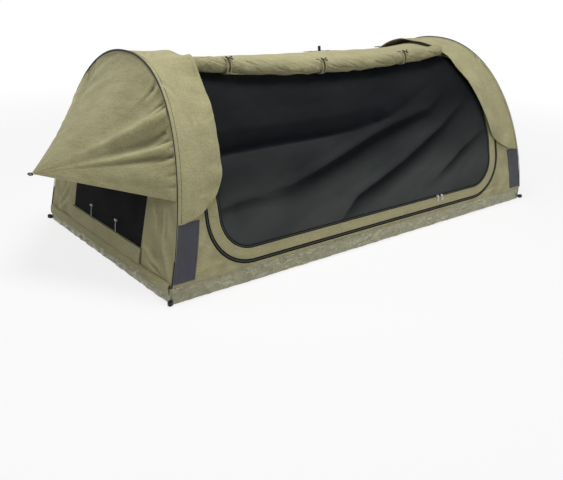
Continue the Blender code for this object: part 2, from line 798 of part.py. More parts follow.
def window_outline(shrink, crown_steps=6, foot_steps=8):
    """A window with a straight foot and rounded top corners, as (y, z), from its near foot over the top."""
    half = WINDOW_WIDTH / 2 - shrink
    foot = WINDOW_FOOT + shrink
    top = WINDOW_TOP - shrink
    radius = WINDOW_CROWN_CORNER - shrink
    points = [(-half, z) for z in spread(foot, top - radius, 4)[:-1]]
    for turn in spread(math.pi, math.pi / 2, crown_steps):
        points.append((-half + radius + radius * math.cos(turn), top - radius + radius * math.sin(turn)))
    for turn in spread(math.pi / 2, 0, crown_steps):
        points.append((half - radius + radius * math.cos(turn), top - radius + radius * math.sin(turn)))
    points += [(half, z) for z in spread(top - radius, foot, 4)[1:]]
    points += [(y, foot) for y in spread(half, -half, foot_steps)[1:-1]]
    return points


def build_end_wall(end):
    low = TUB_HEIGHT + HINGE_GAP
    inside = window_outline(0)
    foot_steps = 8
    outside = arch_outline(-CANVAS / 2, low, len(inside) - foot_steps)
    edge = outside[-1][0]
    outside += [(y, low) for y in spread(edge, -edge, foot_steps)[1:-1]]
    return hollow_prism(
        f"{end}_wall", outside, inside, lambda u, v, depth: end_place(end, u, v, depth), CANVAS, "canvas_shade"
    )


def build_window_mesh(end):
    return prism(
        f"{end}_window_mesh",
        window_outline(SEAM_GAP),
        lambda u, v, depth: end_place(end, u, v, depth),
        MESH_CLOTH,
        "mesh",
    )


def build_window_cover(end):
    """The window's canvas cover, let down and folded flat below the window on the outside."""
    half = WINDOW_WIDTH / 2 + COVER_OVERHANG
    round_off = COVER_THICKNESS * COVER_ROUND_SHARE
    outline = [(0, COVER_FOOT), (-COVER_THICKNESS + round_off, COVER_FOOT)]
    outline += [(-COVER_THICKNESS, COVER_FOOT + round_off)]
    outline += [(-COVER_THICKNESS, WINDOW_FOOT - SEAM_GAP - round_off)]
    outline += [(-COVER_THICKNESS + round_off, WINDOW_FOOT - SEAM_GAP), (0, WINDOW_FOOT - SEAM_GAP)]
    return prism(
        f"{end}_window_cover",
        outline,
        lambda u, v, depth: end_place(end, -half + depth, v, u - SEAM_GAP),
        2 * half,
        "canvas_shade",
    )


def build_window_toggle(end, index):
    """A toggle on a short cord that stands up from the cover's top edge."""
    y = KNOB_PLACES[index]
    root = end_place(end, y, WINDOW_FOOT + KNOB_CORD_RADIUS, -KNOB_CORD_RADIUS - 2 * SEAM_GAP)
    bend = end_place(end, y, WINDOW_FOOT + KNOB_HEIGHT / 3, -KNOB_CORD_RADIUS - KNOB_STANDOFF / 2)
    top = end_place(end, y, WINDOW_FOOT + KNOB_HEIGHT, -KNOB_STANDOFF)
    square = (Vector((1, 0, 0)), Vector((0, 1, 0)))
    cord = swept("cord", [root, bend, top], [square] * 3, [KNOB_CORD_RADIUS] * 3, "cord", 6)
    ends = [top + Vector((0, half * KNOB_LENGTH / 2, 0)) for half in KNOB_LENGTH_SHARES]
    frame = (Vector((1, 0, 0)), Vector((0, 0, 1)))
    widths = [KNOB_RADIUS * share for share in KNOB_RADIUS_SHARES]
    knob = swept(f"{end}_window_toggle_{KNOB_NAMES[index]}", ends, [frame] * 4, widths, "cord", 8)
    return join_solids(knob, cord)


# Hoods and visors
def hood_bulge(girth):
    """Share of the way that the hood's edge is raised, next to the rolled door's end."""
    off = (girth - RIDGE_GIRTH + HOOD_BULGE_TO_RIDGE) / HOOD_BULGE_WIDTH
    return math.exp(-off * off)


def hood_width(end, girth):
    """Width of the hood's band: it narrows round a corner towards its foot and draws back over the roll."""
    from_foot = min(girth, 2 * RIDGE_GIRTH - girth) - HOOD_FOOT_GIRTH
    if from_foot >= HOOD_CORNER:
        extra = HOOD_CROWN_WIDTH[end] - HOOD_WIDTH[end]
        crown = HOOD_WIDTH[end] + extra * math.sin(direction_at(girth)) ** HOOD_CROWN_POWER
        return crown - HOOD_BULGE_DRAW[end] * hood_bulge(girth)
    inside = 1 - from_foot / HOOD_CORNER
    return HOOD_WIDTH[end] * max(HOOD_FOOT_SHARE, math.sqrt(1 - inside * inside))


def hood_lift(end, girth, share):
    """Height of the hood over the skin, from its seam on the hoop, share 0, to its loose edge, share 1."""
    edge = HOOD_EDGE_LIFT[end] * hood_width(end, girth) / HOOD_WIDTH[end]
    return HOOD_ROOT_LIFT + (edge + HOOD_BULGE[end] * hood_bulge(girth)) * share**HOOD_LIFT_POWER


def build_hood(end):
    """A band of canvas from the hoop's seam inwards, which stands off the skin along its loose edge."""
    sign = ENDS[end]
    turns = spread(0, math.pi / 2, HOOD_STEPS)
    crown = [HOOD_FOOT_GIRTH + HOOD_CORNER * (1 - math.cos(turn)) for turn in turns]
    middle = spread(crown[-1], 2 * RIDGE_GIRTH - crown[-1], 2 * (HALF_ARCH_STEPS - HOOD_STEPS) + 2)
    if HOOD_BULGE[end] > 0:
        top = RIDGE_GIRTH - HOOD_BULGE_TO_RIDGE
        reach = 2 * HOOD_BULGE_WIDTH
        kept = [girth for girth in middle if abs(girth - top) > reach + HOOD_BULGE_WIDTH / 4]
        middle = sorted(kept + spread(top - reach, top + reach, HOOD_BULGE_STEPS))
    girths = crown + middle[1:-1] + [2 * RIDGE_GIRTH - girth for girth in reversed(crown)]
    outer = []
    inner = []
    for girth in girths:
        direction = direction_at(girth)
        reach = end_x(direction) + CANVAS + SEAM_GAP
        top_row = []
        under_row = []
        for share in spread(0, 1, HOOD_STEPS):
            lift = hood_lift(end, girth, share)
            x = sign * (reach - share * hood_width(end, girth))
            top_row.append(skin(x, direction, lift + CANVAS / 2))
            under_row.append(skin(x, direction, lift - CANVAS / 2))
        outer.append(top_row)
        inner.append(under_row)
    return slab(f"{end}_hood", outer, inner, "canvas")


def build_visor(end):
    """A cone of canvas drawn from the hoop out to one tip, open below."""
    sign = ENDS[end]
    tip = Vector((sign * (HALF_LENGTH + VISOR_REACH), 0, VISOR_TIP_HEIGHT))
    girths = spread(VISOR_ROOT_GIRTH, 2 * RIDGE_GIRTH - VISOR_ROOT_GIRTH, 2 * HALF_ARCH_STEPS - 6)
    centres = []
    for girth in girths:
        across, up = section(direction_at(girth), HOOP_POWER)
        root = end_place(end, across * HALF_WIDTH, up * HOOP_HEIGHT, -VISOR_ROOT_GAP)
        hang = math.sin(math.pi * (girth - girths[0]) / (girths[-1] - girths[0]))
        row = []
        for share in spread(0, VISOR_TIP_SHARE, 8):
            depth = VISOR_HOLLOW * hang * math.sin(math.pi * share**VISOR_HOLLOW_POWER)
            row.append(root.lerp(tip, share) - Vector((sign, 0, 1)) * depth)
        centres.append(row)
    rows = len(centres)
    columns = len(centres[0])
    outer = []
    inner = []
    for i in range(rows):
        top_row = []
        under_row = []
        for j in range(columns):
            around = centres[min(i + 1, rows - 1)][j] - centres[max(i - 1, 0)][j]
            along = centres[i][min(j + 1, columns - 1)] - centres[i][max(j - 1, 0)]
            normal = along.cross(around).normalized() * sign
            thickness = CANVAS / 2
            top_row.append(centres[i][j] + normal * thickness)
            under_row.append(centres[i][j] - normal * thickness)
        outer.append(top_row)
        inner.append(under_row)
    return slab(f"{end}_visor", outer, inner, "canvas")


def ring_solid(name, outline, thickness, width, place, look):
    """A webbing loop: a closed outline and one drawn in by the webbing's thickness, extruded by its width."""
    centre_u = sum(u for u, _ in outline) / len(outline)
    centre_v = sum(v for _, v in outline) / len(outline)
    half_u = max(abs(u - centre_u) for u, _ in outline)
    half_v = max(abs(v - centre_v) for _, v in outline)
    inside = []
    for u, v in outline:
        inside.append(
            (
                centre_u + (u - centre_u) * (half_u - thickness) / half_u,
                centre_v + (v - centre_v) * (half_v - thickness) / half_v,
            )
        )
    return hollow_prism(name, outline, inside, place, width, look)


def stadium(length, height, steps=5):
    """A slot shape centred on zero, as (u, v), with round ends along u."""
    radius = height / 2
    points = []
    for sign, first in ((1, -math.pi / 2), (-1, math.pi / 2)):
        for turn in spread(first, first + math.pi, steps):
            points.append((sign * (length / 2 - radius) + radius * math.cos(turn), radius * math.sin(turn)))
    return points


def build_tip_loop(end):
    """A small webbing loop at the visor's tip, for a line that holds the visor out."""
    sign = ENDS[end]
    tip = Vector((sign * (HALF_LENGTH + VISOR_REACH), 0, VISOR_TIP_HEIGHT))
    visor_length = tip.x * sign - hoop_reach(VISOR_TIP_HEIGHT / HOOP_HEIGHT)
    start = TIP_LOOP_LENGTH / 2 + 2 * SEAM_GAP - (1 - VISOR_TIP_SHARE) * visor_length
    return ring_solid(
        f"{end}_visor_loop",
        stadium(TIP_LOOP_LENGTH, TIP_LOOP_DEPTH),
        WEBBING,
        TIP_LOOP_WIDTH,
        lambda u, v, depth: tip + Vector((sign * (start + u), depth - TIP_LOOP_WIDTH / 2, v)),
        "webbing",
    )


# Rolled door along the ridge
def roll_fullness(x):
    """Radius of the roll between its ties: slimmer towards its ends."""
    along = abs(x - ROLL_X) / ROLL_HALF_LENGTH
    end_share = ROLL_END_SHARE["foot" if x < ROLL_X else "head"]
    return ROLL_RADIUS * (1 - (1 - end_share) * along**ROLL_TAPER_POWER)


def roll_radius(x):
    """Radius of the roll, drawn in at the ties."""
    radius = roll_fullness(x)
    for place in TIE_PLACES:
        near = (x - place) / TIE_PINCH_LENGTH
        radius *= 1 - (1 - ROLL_PINCH_SHARE) * math.exp(-near * near)
    return radius


def roll_centre(x):
    """The roll lies on the skin just below the ridge."""
    rest = Vector((x, ROLL_Y, crest(x, ROLL_Y)))
    return rest + crest_normal(x, ROLL_Y) * (roll_fullness(x) + ZIP_THICKNESS / 2 + SEAM_GAP)


def build_rolled_door():
    """The canvas door rolled up: a round bundle whose loose edge shows as a step along it."""
    bm = bmesh.new()
    rings = []
    places = spread(ROLL_X - ROLL_HALF_LENGTH, ROLL_X + ROLL_HALF_LENGTH, ROLL_STEPS)
    for x in places:
        centre = roll_centre(x)
        radius = roll_radius(x)
        lap_start = math.radians(200)
        ring = []
        for step in range(ROLL_SIDES + 1):
            share = step / ROLL_SIDES
            turn = lap_start + 2 * math.pi * share
            reach = radius - ROLL_LAP * (1 - share)
            ring.append(bm.verts.new(centre + Vector((0, math.cos(turn), math.sin(turn))) * reach))
        rings.append(ring)
    count = len(rings[0])
    for ring, following in zip(rings, rings[1:]):
        for step in range(count):
            after = (step + 1) % count
            bm.faces.new((ring[step], ring[after], following[after], following[step]))
    bm.faces.new(rings[0])
    bm.faces.new(rings[-1])
    return add_object("rolled_door", bm, "canvas")


def build_tie(index):
    """A canvas strap round the roll."""
    x = TIE_PLACES[index]
    centre = roll_centre(x)
    inner_radius = roll_radius(x) + LAP_GAP
    sides = 20
    outside = []
    inside = []
    for step in range(sides):
        turn = 2 * math.pi * step / sides
        outside.append(((inner_radius + WEBBING) * math.cos(turn), (inner_radius + WEBBING) * math.sin(turn)))
        inside.append((inner_radius * math.cos(turn), inner_radius * math.sin(turn)))
    return hollow_prism(
        f"door_tie_{TIE_NAMES[index]}",
        outside,
        inside,
        lambda u, v, depth: centre + Vector((depth - TIE_WIDTH / 2, u, v)),
        TIE_WIDTH,
        "canvas",
    )


def build_door_toggle(index):
    """A waisted toggle that lies across its strap, on the side towards the door."""
    x = TIE_PLACES[index]
    reach = roll_radius(x) + LAP_GAP + WEBBING + SEAM_GAP + TOGGLE_RADIUS * TOGGLE_WAIST_SHARE
    turn = math.radians(90 - TOGGLE_TURN_DEG)
    middle = roll_centre(x) + Vector((0, math.cos(turn), math.sin(turn))) * reach
    widths = [TOGGLE_RADIUS * share for share in TOGGLE_RADIUS_SHARES]
    centres = [middle + Vector((share * TOGGLE_LENGTH / 2, 0, 0)) for share in TOGGLE_LENGTH_SHARES]
    frame = (Vector((0, 1, 0)), Vector((0, 0, 1)))
    return swept(f"door_toggle_{TIE_NAMES[index]}", centres, [frame] * 6, widths, "plastic", 8)


# Zip sliders
def zip_frame(x, girth, along, lift):
    """Matrix on the skin: its X along the zip, its Z out of the cloth."""
    direction = direction_at(girth)
    out = skin_normal(x, direction)
    forward = (along - out * along.dot(out)).normalized()
    side = out.cross(forward)
    matrix = Matrix((forward, side, out)).transposed().to_4x4()
    matrix.translation = skin(x, direction, lift)
    return matrix


def build_slider(name, matrix):
    """A tapered slider body with two ears that hold the pull's pin."""
    body = box(name, (SLIDER_LENGTH, SLIDER_WIDTH, SLIDER_HEIGHT), "metal", matrix, SLIDER_HEIGHT * SLIDER_BEVEL_SHARE)
    inverse = matrix.inverted()
    for vertex in body.data.vertices:
        local = inverse @ vertex.co
        if local.x < 0:
            local.y *= SLIDER_TAPER_SHARE
        vertex.co = matrix @ local
    ears = []
    for sign in (-1, 1):
        at = Matrix.Translation(
            (
                sign * (PULL_WIDTH / 4 + EAR_WIDTH),
                0,
                SLIDER_HEIGHT / 2 + EAR_HEIGHT / 2 - EAR_HEIGHT / 4,
            )
        )
        ears.append(box("ear", (EAR_WIDTH, SLIDER_WIDTH / 2, EAR_HEIGHT * 1.5), "metal", matrix @ at))
    return join_solids(body, *ears)


def build_pull(name, matrix):
    """A pull tab with a slot at its foot, hanging from a pin between the slider's ears."""
    pin_lift = SLIDER_HEIGHT / 2 + EAR_HEIGHT * EAR_PIN_SHARE
    half_gap = PULL_WIDTH / 4 + EAR_WIDTH / 2 - POLE_RUNNING_GAP
    lean = math.radians(PULL_LEAN_DEG)
    hang = matrix @ Matrix.Translation((0, 0, pin_lift)) @ Matrix.Rotation(lean, 4, "X")
    ends = [hang @ Vector((sign * half_gap, 0, 0)) for sign in (-1, 1)]
    turned = hang.to_3x3()
    frame = (turned @ Vector((0, 1, 0)), turned @ Vector((0, 0, 1)))
    pin = swept(name, ends, [frame] * 2, [PULL_PIN_RADIUS] * 2, "metal", 8)
    neck_width = 2 * half_gap
    neck_length = SLIDER_WIDTH * PULL_NECK_SHARE
    neck = box(
        "neck",
        (neck_width, neck_length, PULL_THICKNESS),
        "metal",
        hang @ Matrix.Translation((0, -neck_length / 2, 0)),
    )
    tab_length = PULL_LENGTH - neck_length
    outline = [(-u, v) for v, u in stadium(tab_length, PULL_WIDTH)]
    tab = ring_solid(
        "tab",
        outline,
        PULL_WIDTH * PULL_WALL_SHARE,
        PULL_THICKNESS,
        lambda u, v, depth: hang
        @ Vector((u, v - neck_length - tab_length / 2 + PULL_WIDTH * PULL_LAP_SHARE, depth - PULL_THICKNESS / 2)),
        "metal",
    )
    return join_solids(pin, neck, tab)


# Corner patches, peg loops, ridge strap
def build_patch(end, side):
    """A reinforcing panel up the corner of the side cloth."""
    sign = ENDS[end]
    girths = spread(PATCH_FOOT_GIRTH, PATCH_TOP_GIRTH, 5)
    rows = []
    for girth in girths:
        direction = direction_at(girth)
        if SIDES[side] > 0:
            direction = math.pi - direction
        edge = end_x(direction) - PATCH_EDGE_INSET
        rows.append([(sign * x, direction) for x in spread(edge, edge - PATCH_WIDTH, 3)])
    lift = CANVAS / 2 + PATCH_THICKNESS / 2 + SEAM_GAP * 1.5
    return skin_sheet(f"corner_patch_{end}_{side}", rows, PATCH_THICKNESS, "patch", lift)


def build_peg_loop(end, side):
    """A webbing loop that stands out from the tub's corner, for a ground peg."""
    corner = 4 * PVC
    outward = Vector((ENDS[end], SIDES[side], 0)).normalized()
    across = Vector((-outward.y, outward.x, 0))
    corner_centre = Vector((ENDS[end] * (HALF_LENGTH - corner), SIDES[side] * (HALF_WIDTH - corner), 0))
    start = corner_centre + outward * (corner + SEAM_GAP + PEG_LOOP_REACH / 2)
    return ring_solid(
        f"peg_loop_{end}_{side}",
        stadium(PEG_LOOP_REACH, PEG_LOOP_WIDTH),
        WEBBING,
        PEG_LOOP_HEIGHT,
        lambda u, v, depth: start + outward * u + across * v + Vector((0, 0, PEG_LOOP_FOOT + depth)),
        "webbing",
    )


def build_ridge_strap():
    """A webbing strip sewn on top, with one loop standing up from it."""
    out = crest_normal(RIDGE_STRAP_X, RIDGE_STRAP_Y)
    along = Vector((1, 0, 0))
    across = out.cross(along)
    foot = Vector((RIDGE_STRAP_X, RIDGE_STRAP_Y, crest(RIDGE_STRAP_X, RIDGE_STRAP_Y)))
    foot += out * (CANVAS / 2 + SEAM_GAP)
    matrix = Matrix((along, across, out)).transposed().to_4x4()
    matrix.translation = foot + out * WEBBING / 2
    strip = box("ridge_strap", (RIDGE_STRAP_LENGTH, RIDGE_STRAP_WIDTH, WEBBING), "webbing", matrix)
    centre = foot + along * RIDGE_LOOP_OFFSET + out * (WEBBING / 2 + RIDGE_LOOP_HEIGHT / 2)
    outline = [(v, u) for u, v in stadium(RIDGE_LOOP_HEIGHT, RIDGE_LOOP_WIDTH)]
    loop = ring_solid(
        "loop",
        outline,
        WEBBING,
        RIDGE_LOOP_DEPTH,
        lambda u, v, depth: centre + along * u + out * v + across * (depth - RIDGE_LOOP_DEPTH / 2),
        "webbing",
    )
    return join_solids(strip, loop)


def build_ridge_tab():
    """A short end of webbing, folded flat and sewn down on the ridge."""
    out = crest_normal(RIDGE_TAB_X, RIDGE_STRAP_Y)
    along = Vector((1, 0, 0))
    matrix = Matrix((along, out.cross(along), out)).transposed().to_4x4()
    foot = Vector((RIDGE_TAB_X, RIDGE_STRAP_Y, crest(RIDGE_TAB_X, RIDGE_STRAP_Y)))
    matrix.translation = foot + out * (CANVAS / 2 + SEAM_GAP + RIDGE_TAB_SIZE[2] / 2)
    return box("ridge_tab", RIDGE_TAB_SIZE, "webbing", matrix, RIDGE_TAB_SIZE[2] / 4)


def build_all():
    clear_scene()
    build_tub()
    build_mattress()
    build_mesh_door()
    door_band("mesh_door_zip", 0, MESH_ZIP_WIDTH, ZIP_THICKNESS, "zip")
    door_band("door_border", BORDER_START, BORDER_END, CANVAS, "canvas")
    door_band("outer_door_zip", OUTER_ZIP_START, OUTER_ZIP_END, ZIP_THICKNESS, "zip")
    build_front_panel()
    rear_seam = RIDGE_GIRTH + REAR_SEAM_TO_RIDGE
    build_side_sheet("roof_panel", DOOR_TOP_GIRTH + SEAM_GAP, rear_seam, 8)
    build_side_sheet("rear_panel", rear_seam + SEAM_GAP, 2 * RIDGE_GIRTH - FOOT_GIRTH, 12)
    build_rolled_door()
    for index in range(len(TIE_PLACES)):
        build_tie(index)
        build_door_toggle(index)
    build_ridge_strap()
    build_ridge_tab()
    for end in ENDS:
        carried = build_pole(end)
        carried.append(build_end_wall(end))
        carried.append(build_window_mesh(end))
        carried.append(build_window_cover(end))
        carried.append(build_hood(end))
        carried.append(build_visor(end))
        carried.append(build_tip_loop(end))
        for index in range(len(KNOB_PLACES)):
            carried.append(build_window_toggle(end, index))
        foot = pole_point(end, 0)
        add_pivot(f"{end}_hoop_fold", (foot.x, 0, foot.z), carried)
        for side in SIDES:
            build_pole_seat(end, side)
            build_patch(end, side)
            build_peg_loop(end, side)
    slider_girth = DOOR_FOOT_GIRTH - MESH_ZIP_WIDTH / 2
    lift = ZIP_THICKNESS / 2 + SEAM_GAP + SLIDER_HEIGHT / 2
    for name, x, sign in (("left", LEFT_SLIDER_X, 1), ("right", RIGHT_SLIDER_X, -1)):
        matrix = zip_frame(x, slider_girth, Vector((sign, 0, 0)), lift)
        slider = build_slider(f"mesh_zip_slider_{name}", matrix)
        pull = build_pull(f"mesh_zip_pull_{name}", zip_frame(x, slider_girth, Vector((1, 0, 0)), lift))
        add_pivot(f"mesh_zip_slide_{name}", matrix.translation, [slider, pull])


build_all()
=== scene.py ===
"""Looks of the dome swag bedroll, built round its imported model: cloth with folds and hems, zips, webbing,
plain studio light and the photograph's camera.
"""

import math

import bmesh
import bpy
import numpy as np
from mathutils import Matrix, Vector


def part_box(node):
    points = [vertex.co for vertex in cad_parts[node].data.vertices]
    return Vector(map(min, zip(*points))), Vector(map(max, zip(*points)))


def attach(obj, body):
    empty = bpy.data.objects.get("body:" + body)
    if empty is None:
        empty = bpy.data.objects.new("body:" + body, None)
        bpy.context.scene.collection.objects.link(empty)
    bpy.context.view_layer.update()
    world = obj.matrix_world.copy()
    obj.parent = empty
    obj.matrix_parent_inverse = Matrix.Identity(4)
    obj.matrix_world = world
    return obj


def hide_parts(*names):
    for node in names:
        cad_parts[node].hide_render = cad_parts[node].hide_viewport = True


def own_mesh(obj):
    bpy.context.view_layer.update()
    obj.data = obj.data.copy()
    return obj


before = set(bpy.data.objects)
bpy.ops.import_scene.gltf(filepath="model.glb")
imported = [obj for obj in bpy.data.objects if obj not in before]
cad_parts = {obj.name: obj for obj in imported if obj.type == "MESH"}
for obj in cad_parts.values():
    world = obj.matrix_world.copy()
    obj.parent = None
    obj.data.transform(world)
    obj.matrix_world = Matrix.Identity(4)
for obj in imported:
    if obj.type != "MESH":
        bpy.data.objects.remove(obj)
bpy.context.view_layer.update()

# Sizes that the model's source uses: metres, shares and powers
BASE_LENGTH, BASE_WIDTH, TUB_HEIGHT = 2.150, 1.100, 0.062
HOOP_HEIGHT, HOOP_INSET, HOOP_LEAN = 0.800, 0.006, 0.146
HOOP_POWER, MIDDLE_POWER = 2.24, 1.70
RIDGE_SAG, SAG_POWER, SAG_SPREAD = 0.040, 3, 4
SEAM_GAP, LAP_GAP, HINGE_GAP, MODEL_CANVAS, MODEL_ZIP = 0.0004, 0.0012, 0.0020, 0.0025, 0.0034
DOOR_X, DOOR_HALF_WIDTH, DOOR_FOOT_GIRTH = -0.028, 0.812, 0.146
DOOR_CORNER, DOOR_CROWN_CORNER, DOOR_TOP_TO_RIDGE = 0.130, 0.120, 0.190
MESH_ZIP_WIDTH, BORDER_WIDTH, OUTER_ZIP_WIDTH = 0.012, 0.042, 0.016
REAR_SEAM_TO_RIDGE = 0.250
ROLL_X, ROLL_Y, ROLL_HALF_LENGTH, ROLL_RADIUS = -0.0475, -0.187, 0.7425, 0.0355
ROLL_END_SHARE, ROLL_TAPER_POWER = {"foot": 0.60, "head": 0.90}, 16
TIE_PLACES = {"foot": -0.602, "middle": -0.110, "head": 0.412}
TIE_PINCH_LENGTH, ROLL_PINCH_SHARE = 0.045, 0.92
TOGGLE_LENGTH, TOGGLE_RADIUS, TOGGLE_TURN_DEG = 0.036, 0.0045, -38.0
HOOD_WIDTH = {"foot": 0.175, "head": 0.214}
HOOD_CROWN_WIDTH, HOOD_CROWN_POWER = {"foot": 0.185, "head": 0.200}, 6
HOOD_FOOT_GIRTH, HOOD_CORNER, HOOD_FOOT_SHARE = 0.282, 0.165, 0.16
HOOD_ROOT_LIFT, HOOD_LIFT_POWER, HOOD_EDGE_LIFT = 0.0046, 1.2, {"foot": 0.017, "head": 0.022}
HOOD_BULGE, HOOD_BULGE_DRAW = {"foot": 0.044, "head": 0.0}, {"foot": 0.020, "head": 0.0}
HOOD_BULGE_TO_RIDGE, HOOD_BULGE_WIDTH = 0.194, 0.055
VISOR_REACH, VISOR_TIP_HEIGHT, VISOR_TIP_SHARE = 0.245, 0.386, 0.985
VISOR_ROOT_GIRTH, VISOR_ROOT_GAP = 0.362, 0.0018
VISOR_HOLLOW, VISOR_HOLLOW_POWER = 0.020, 0.7
TIP_LOOP_LENGTH, TIP_LOOP_WIDTH, TIP_LOOP_DEPTH = 0.018, 0.016, 0.009
WINDOW_WIDTH, WINDOW_FOOT, WINDOW_TOP, WINDOW_CROWN_CORNER = 0.610, 0.132, 0.600, 0.200
COVER_THICKNESS, COVER_OVERHANG, COVER_FOOT = 0.0080, 0.010, 0.0745
PATCH_WIDTH, PATCH_FOOT_GIRTH, PATCH_TOP_GIRTH, PATCH_EDGE_INSET = 0.086, 0.075, 0.286, 0.001
PEG_LOOP_REACH, PEG_LOOP_WIDTH, PEG_LOOP_HEIGHT, PEG_LOOP_FOOT = 0.024, 0.019, 0.014, 0.007
RIDGE_STRAP_X, RIDGE_STRAP_Y, RIDGE_STRAP_LENGTH, RIDGE_STRAP_WIDTH = 0.075, 0.022, 0.148, 0.024
RIDGE_LOOP_OFFSET, RIDGE_LOOP_HEIGHT, RIDGE_LOOP_WIDTH, RIDGE_LOOP_DEPTH = 0.016, 0.024, 0.012, 0.011
RIDGE_TAB_X, RIDGE_TAB_LENGTH, RIDGE_TAB_WIDTH = 0.490, 0.036, 0.014

# Cloth, webbing and tape as they are sewn
CLOTH, HEM, HEM_WIDTH, NET = 0.0012, 0.0026, 0.013, 0.0008
TAPE, COIL, WEB, PEG_WEB, LOOP_EASE = 0.0012, 0.0030, 0.0018, 0.0019, 0.002
TUB_CORNER, TUB_WALL = 0.012, 0.0016
HEM_ROWS, HEM_STEP, PAST_HEM = (0, 0.006, 0.013, 0.0145), 0.0012, 0.02
SHARP_ANGLE_DEG = 50

# A cut that fills less than this share of the box round it is made of strips
STRIP_SHARE = 0.35

# When the hoops fold, the cloth above this height comes down and the cloth below it stays
CUT_HEIGHT, CLOTH_KEEP, HOOP_KEEP = 0.158, 0.05, 0.06

HALF_LENGTH, HALF_WIDTH = BASE_LENGTH / 2, BASE_WIDTH / 2
ENDS = {"foot": -1, "head": 1}
SIDES = {"near": -1, "far": 1}
LEAN_ANGLE = math.atan2(HOOP_LEAN, HOOP_HEIGHT - TUB_HEIGHT)
PI, TAU = math.pi, math.tau


# The skin's shape, as in the model, for arrays of places
def section(direction, power):
    """(across, up) as shares of half width and height, in a direction from 0, near, to pi, far."""
    across, up = np.cos(direction), np.sin(direction)
    reach = (np.abs(across) ** power + np.abs(up) ** power) ** (-1 / power)
    return -across * reach, up * reach


def hoop_curve(direction):
    across, up = section(direction, HOOP_POWER)
    return across * HALF_WIDTH, up * HOOP_HEIGHT


def hoop_reach(up_share):
    return HALF_LENGTH - HOOP_INSET - HOOP_LEAN * (up_share * HOOP_HEIGHT - TUB_HEIGHT) / (HOOP_HEIGHT - TUB_HEIGHT)


def slack(x, up_share, spread_power=2):
    return np.maximum(0, 1 - (np.abs(x) / hoop_reach(up_share)) ** spread_power)


def skin_centre(x, direction):
    _, up = section(direction, HOOP_POWER)
    sag = RIDGE_SAG * slack(x, up, SAG_SPREAD)
    across, up = section(direction, HOOP_POWER + (MIDDLE_POWER - HOOP_POWER) * slack(x, up))
    up = np.maximum(up, 0)
    return np.stack([x + 0 * across, across * HALF_WIDTH, up * HOOP_HEIGHT - sag * up**SAG_POWER], -1)


def unit(vectors):
    return vectors / np.maximum(np.linalg.norm(vectors, axis=-1, keepdims=True), 1e-12)


def skin_normal(x, direction, step=0.002):
    along = skin_centre(x + step, direction) - skin_centre(x - step, direction)
    return unit(np.cross(along, skin_centre(x, direction + step) - skin_centre(x, direction - step)))


ARC_DIRECTIONS = np.linspace(0, PI / 2, 401)
ARC_POINTS = np.stack(hoop_curve(ARC_DIRECTIONS), -1)
ARC_GIRTHS = np.concatenate([[0], np.cumsum(np.linalg.norm(np.diff(ARC_POINTS, axis=0), axis=1))])
RIDGE_GIRTH = float(ARC_GIRTHS[-1])
WHOLE_GIRTH = 2 * RIDGE_GIRTH


def direction_at(girth):
    """Direction of a place on the hoop's curve, by its length along the cloth from the near floor edge."""
    girth = np.asarray(girth, float)
    far = PI - np.interp(WHOLE_GIRTH - girth, ARC_GIRTHS, ARC_DIRECTIONS)
    return np.where(girth > RIDGE_GIRTH, far, np.interp(girth, ARC_GIRTHS, ARC_DIRECTIONS))


def girth_at_height(height):
    return float(np.interp(height, ARC_POINTS[:, 1], ARC_GIRTHS))


def from_floor(girth):
    return np.minimum(girth, WHOLE_GIRTH - girth)


def skin(x, girth, lift=0.0):
    """Places on the skin, by their place along the bed and their length up the cloth."""
    x = np.asarray(x, float)
    direction = direction_at(girth)
    return skin_centre(x, direction) + skin_normal(x, direction) * np.asarray(lift)[..., None]


def end_x(girth):
    _, up = section(direction_at(girth), HOOP_POWER)
    return hoop_reach(up) - MODEL_CANVAS - SEAM_GAP


def end_place(end, y, z, depth=0.0):
    """Places in an end's leaning plane. Depth is measured inwards from the outer face of the end wall."""
    x = hoop_reach(z / HOOP_HEIGHT) - depth * math.cos(LEAN_ANGLE)
    return np.stack(np.broadcast_arrays(ENDS[end] * x, y, z - depth * math.sin(LEAN_ANGLE)), -1)


def hoop_place(end, girth, depth=0.0, out=0.0):
    """Places on the hoop's curve, by length up the cloth, with room outwards in the hoop's plane."""
    y, z = hoop_curve(direction_at(girth))
    dy, dz = np.gradient(y), np.gradient(z)
    size = np.hypot(dy, dz)
    return end_place(end, y - dz / size * out, z + dy / size * out, depth)


# Unevenness and folds
def ripple(u, v, size, seed, stretch=1.0, turn=0.0, waves=16):
    """Smooth seeded unevenness of about -1 to 1, with features of that size, drawn out along a direction."""
    rng = np.random.default_rng(seed)
    along = u * math.cos(turn) + v * math.sin(turn)
    aside = v * math.cos(turn) - u * math.sin(turn)
    total = np.zeros(np.broadcast(u, v).shape)
    for _ in range(waves):
        angle = rng.uniform(0, PI)
        pitch = TAU / size * rng.uniform(0.55, 1.6)
        total += np.sin(pitch * (math.cos(angle) * along / stretch + math.sin(angle) * aside) + rng.uniform(0, TAU))
    return total / math.sqrt(waves)


def crumple(u, v, size, seed, stretch=1.0):
    """Sharp-crested unevenness of about -1 to 1, as in stiff coated cloth."""
    crests = [1 - 2 * np.abs(np.tanh(ripple(u, v, size * s, seed + k, stretch) * 1.3)) for k, s in ((0, 1), (1, 0.55))]
    return crests[0] + 0.4 * crests[1]


def smooth_step(value, start, stop):
    share = np.clip((value - start) / (stop - start), 0, 1)
    return share * share * (3 - 2 * share)


def bell(value, at, width):
    return np.exp(-(((value - at) / width) ** 2))


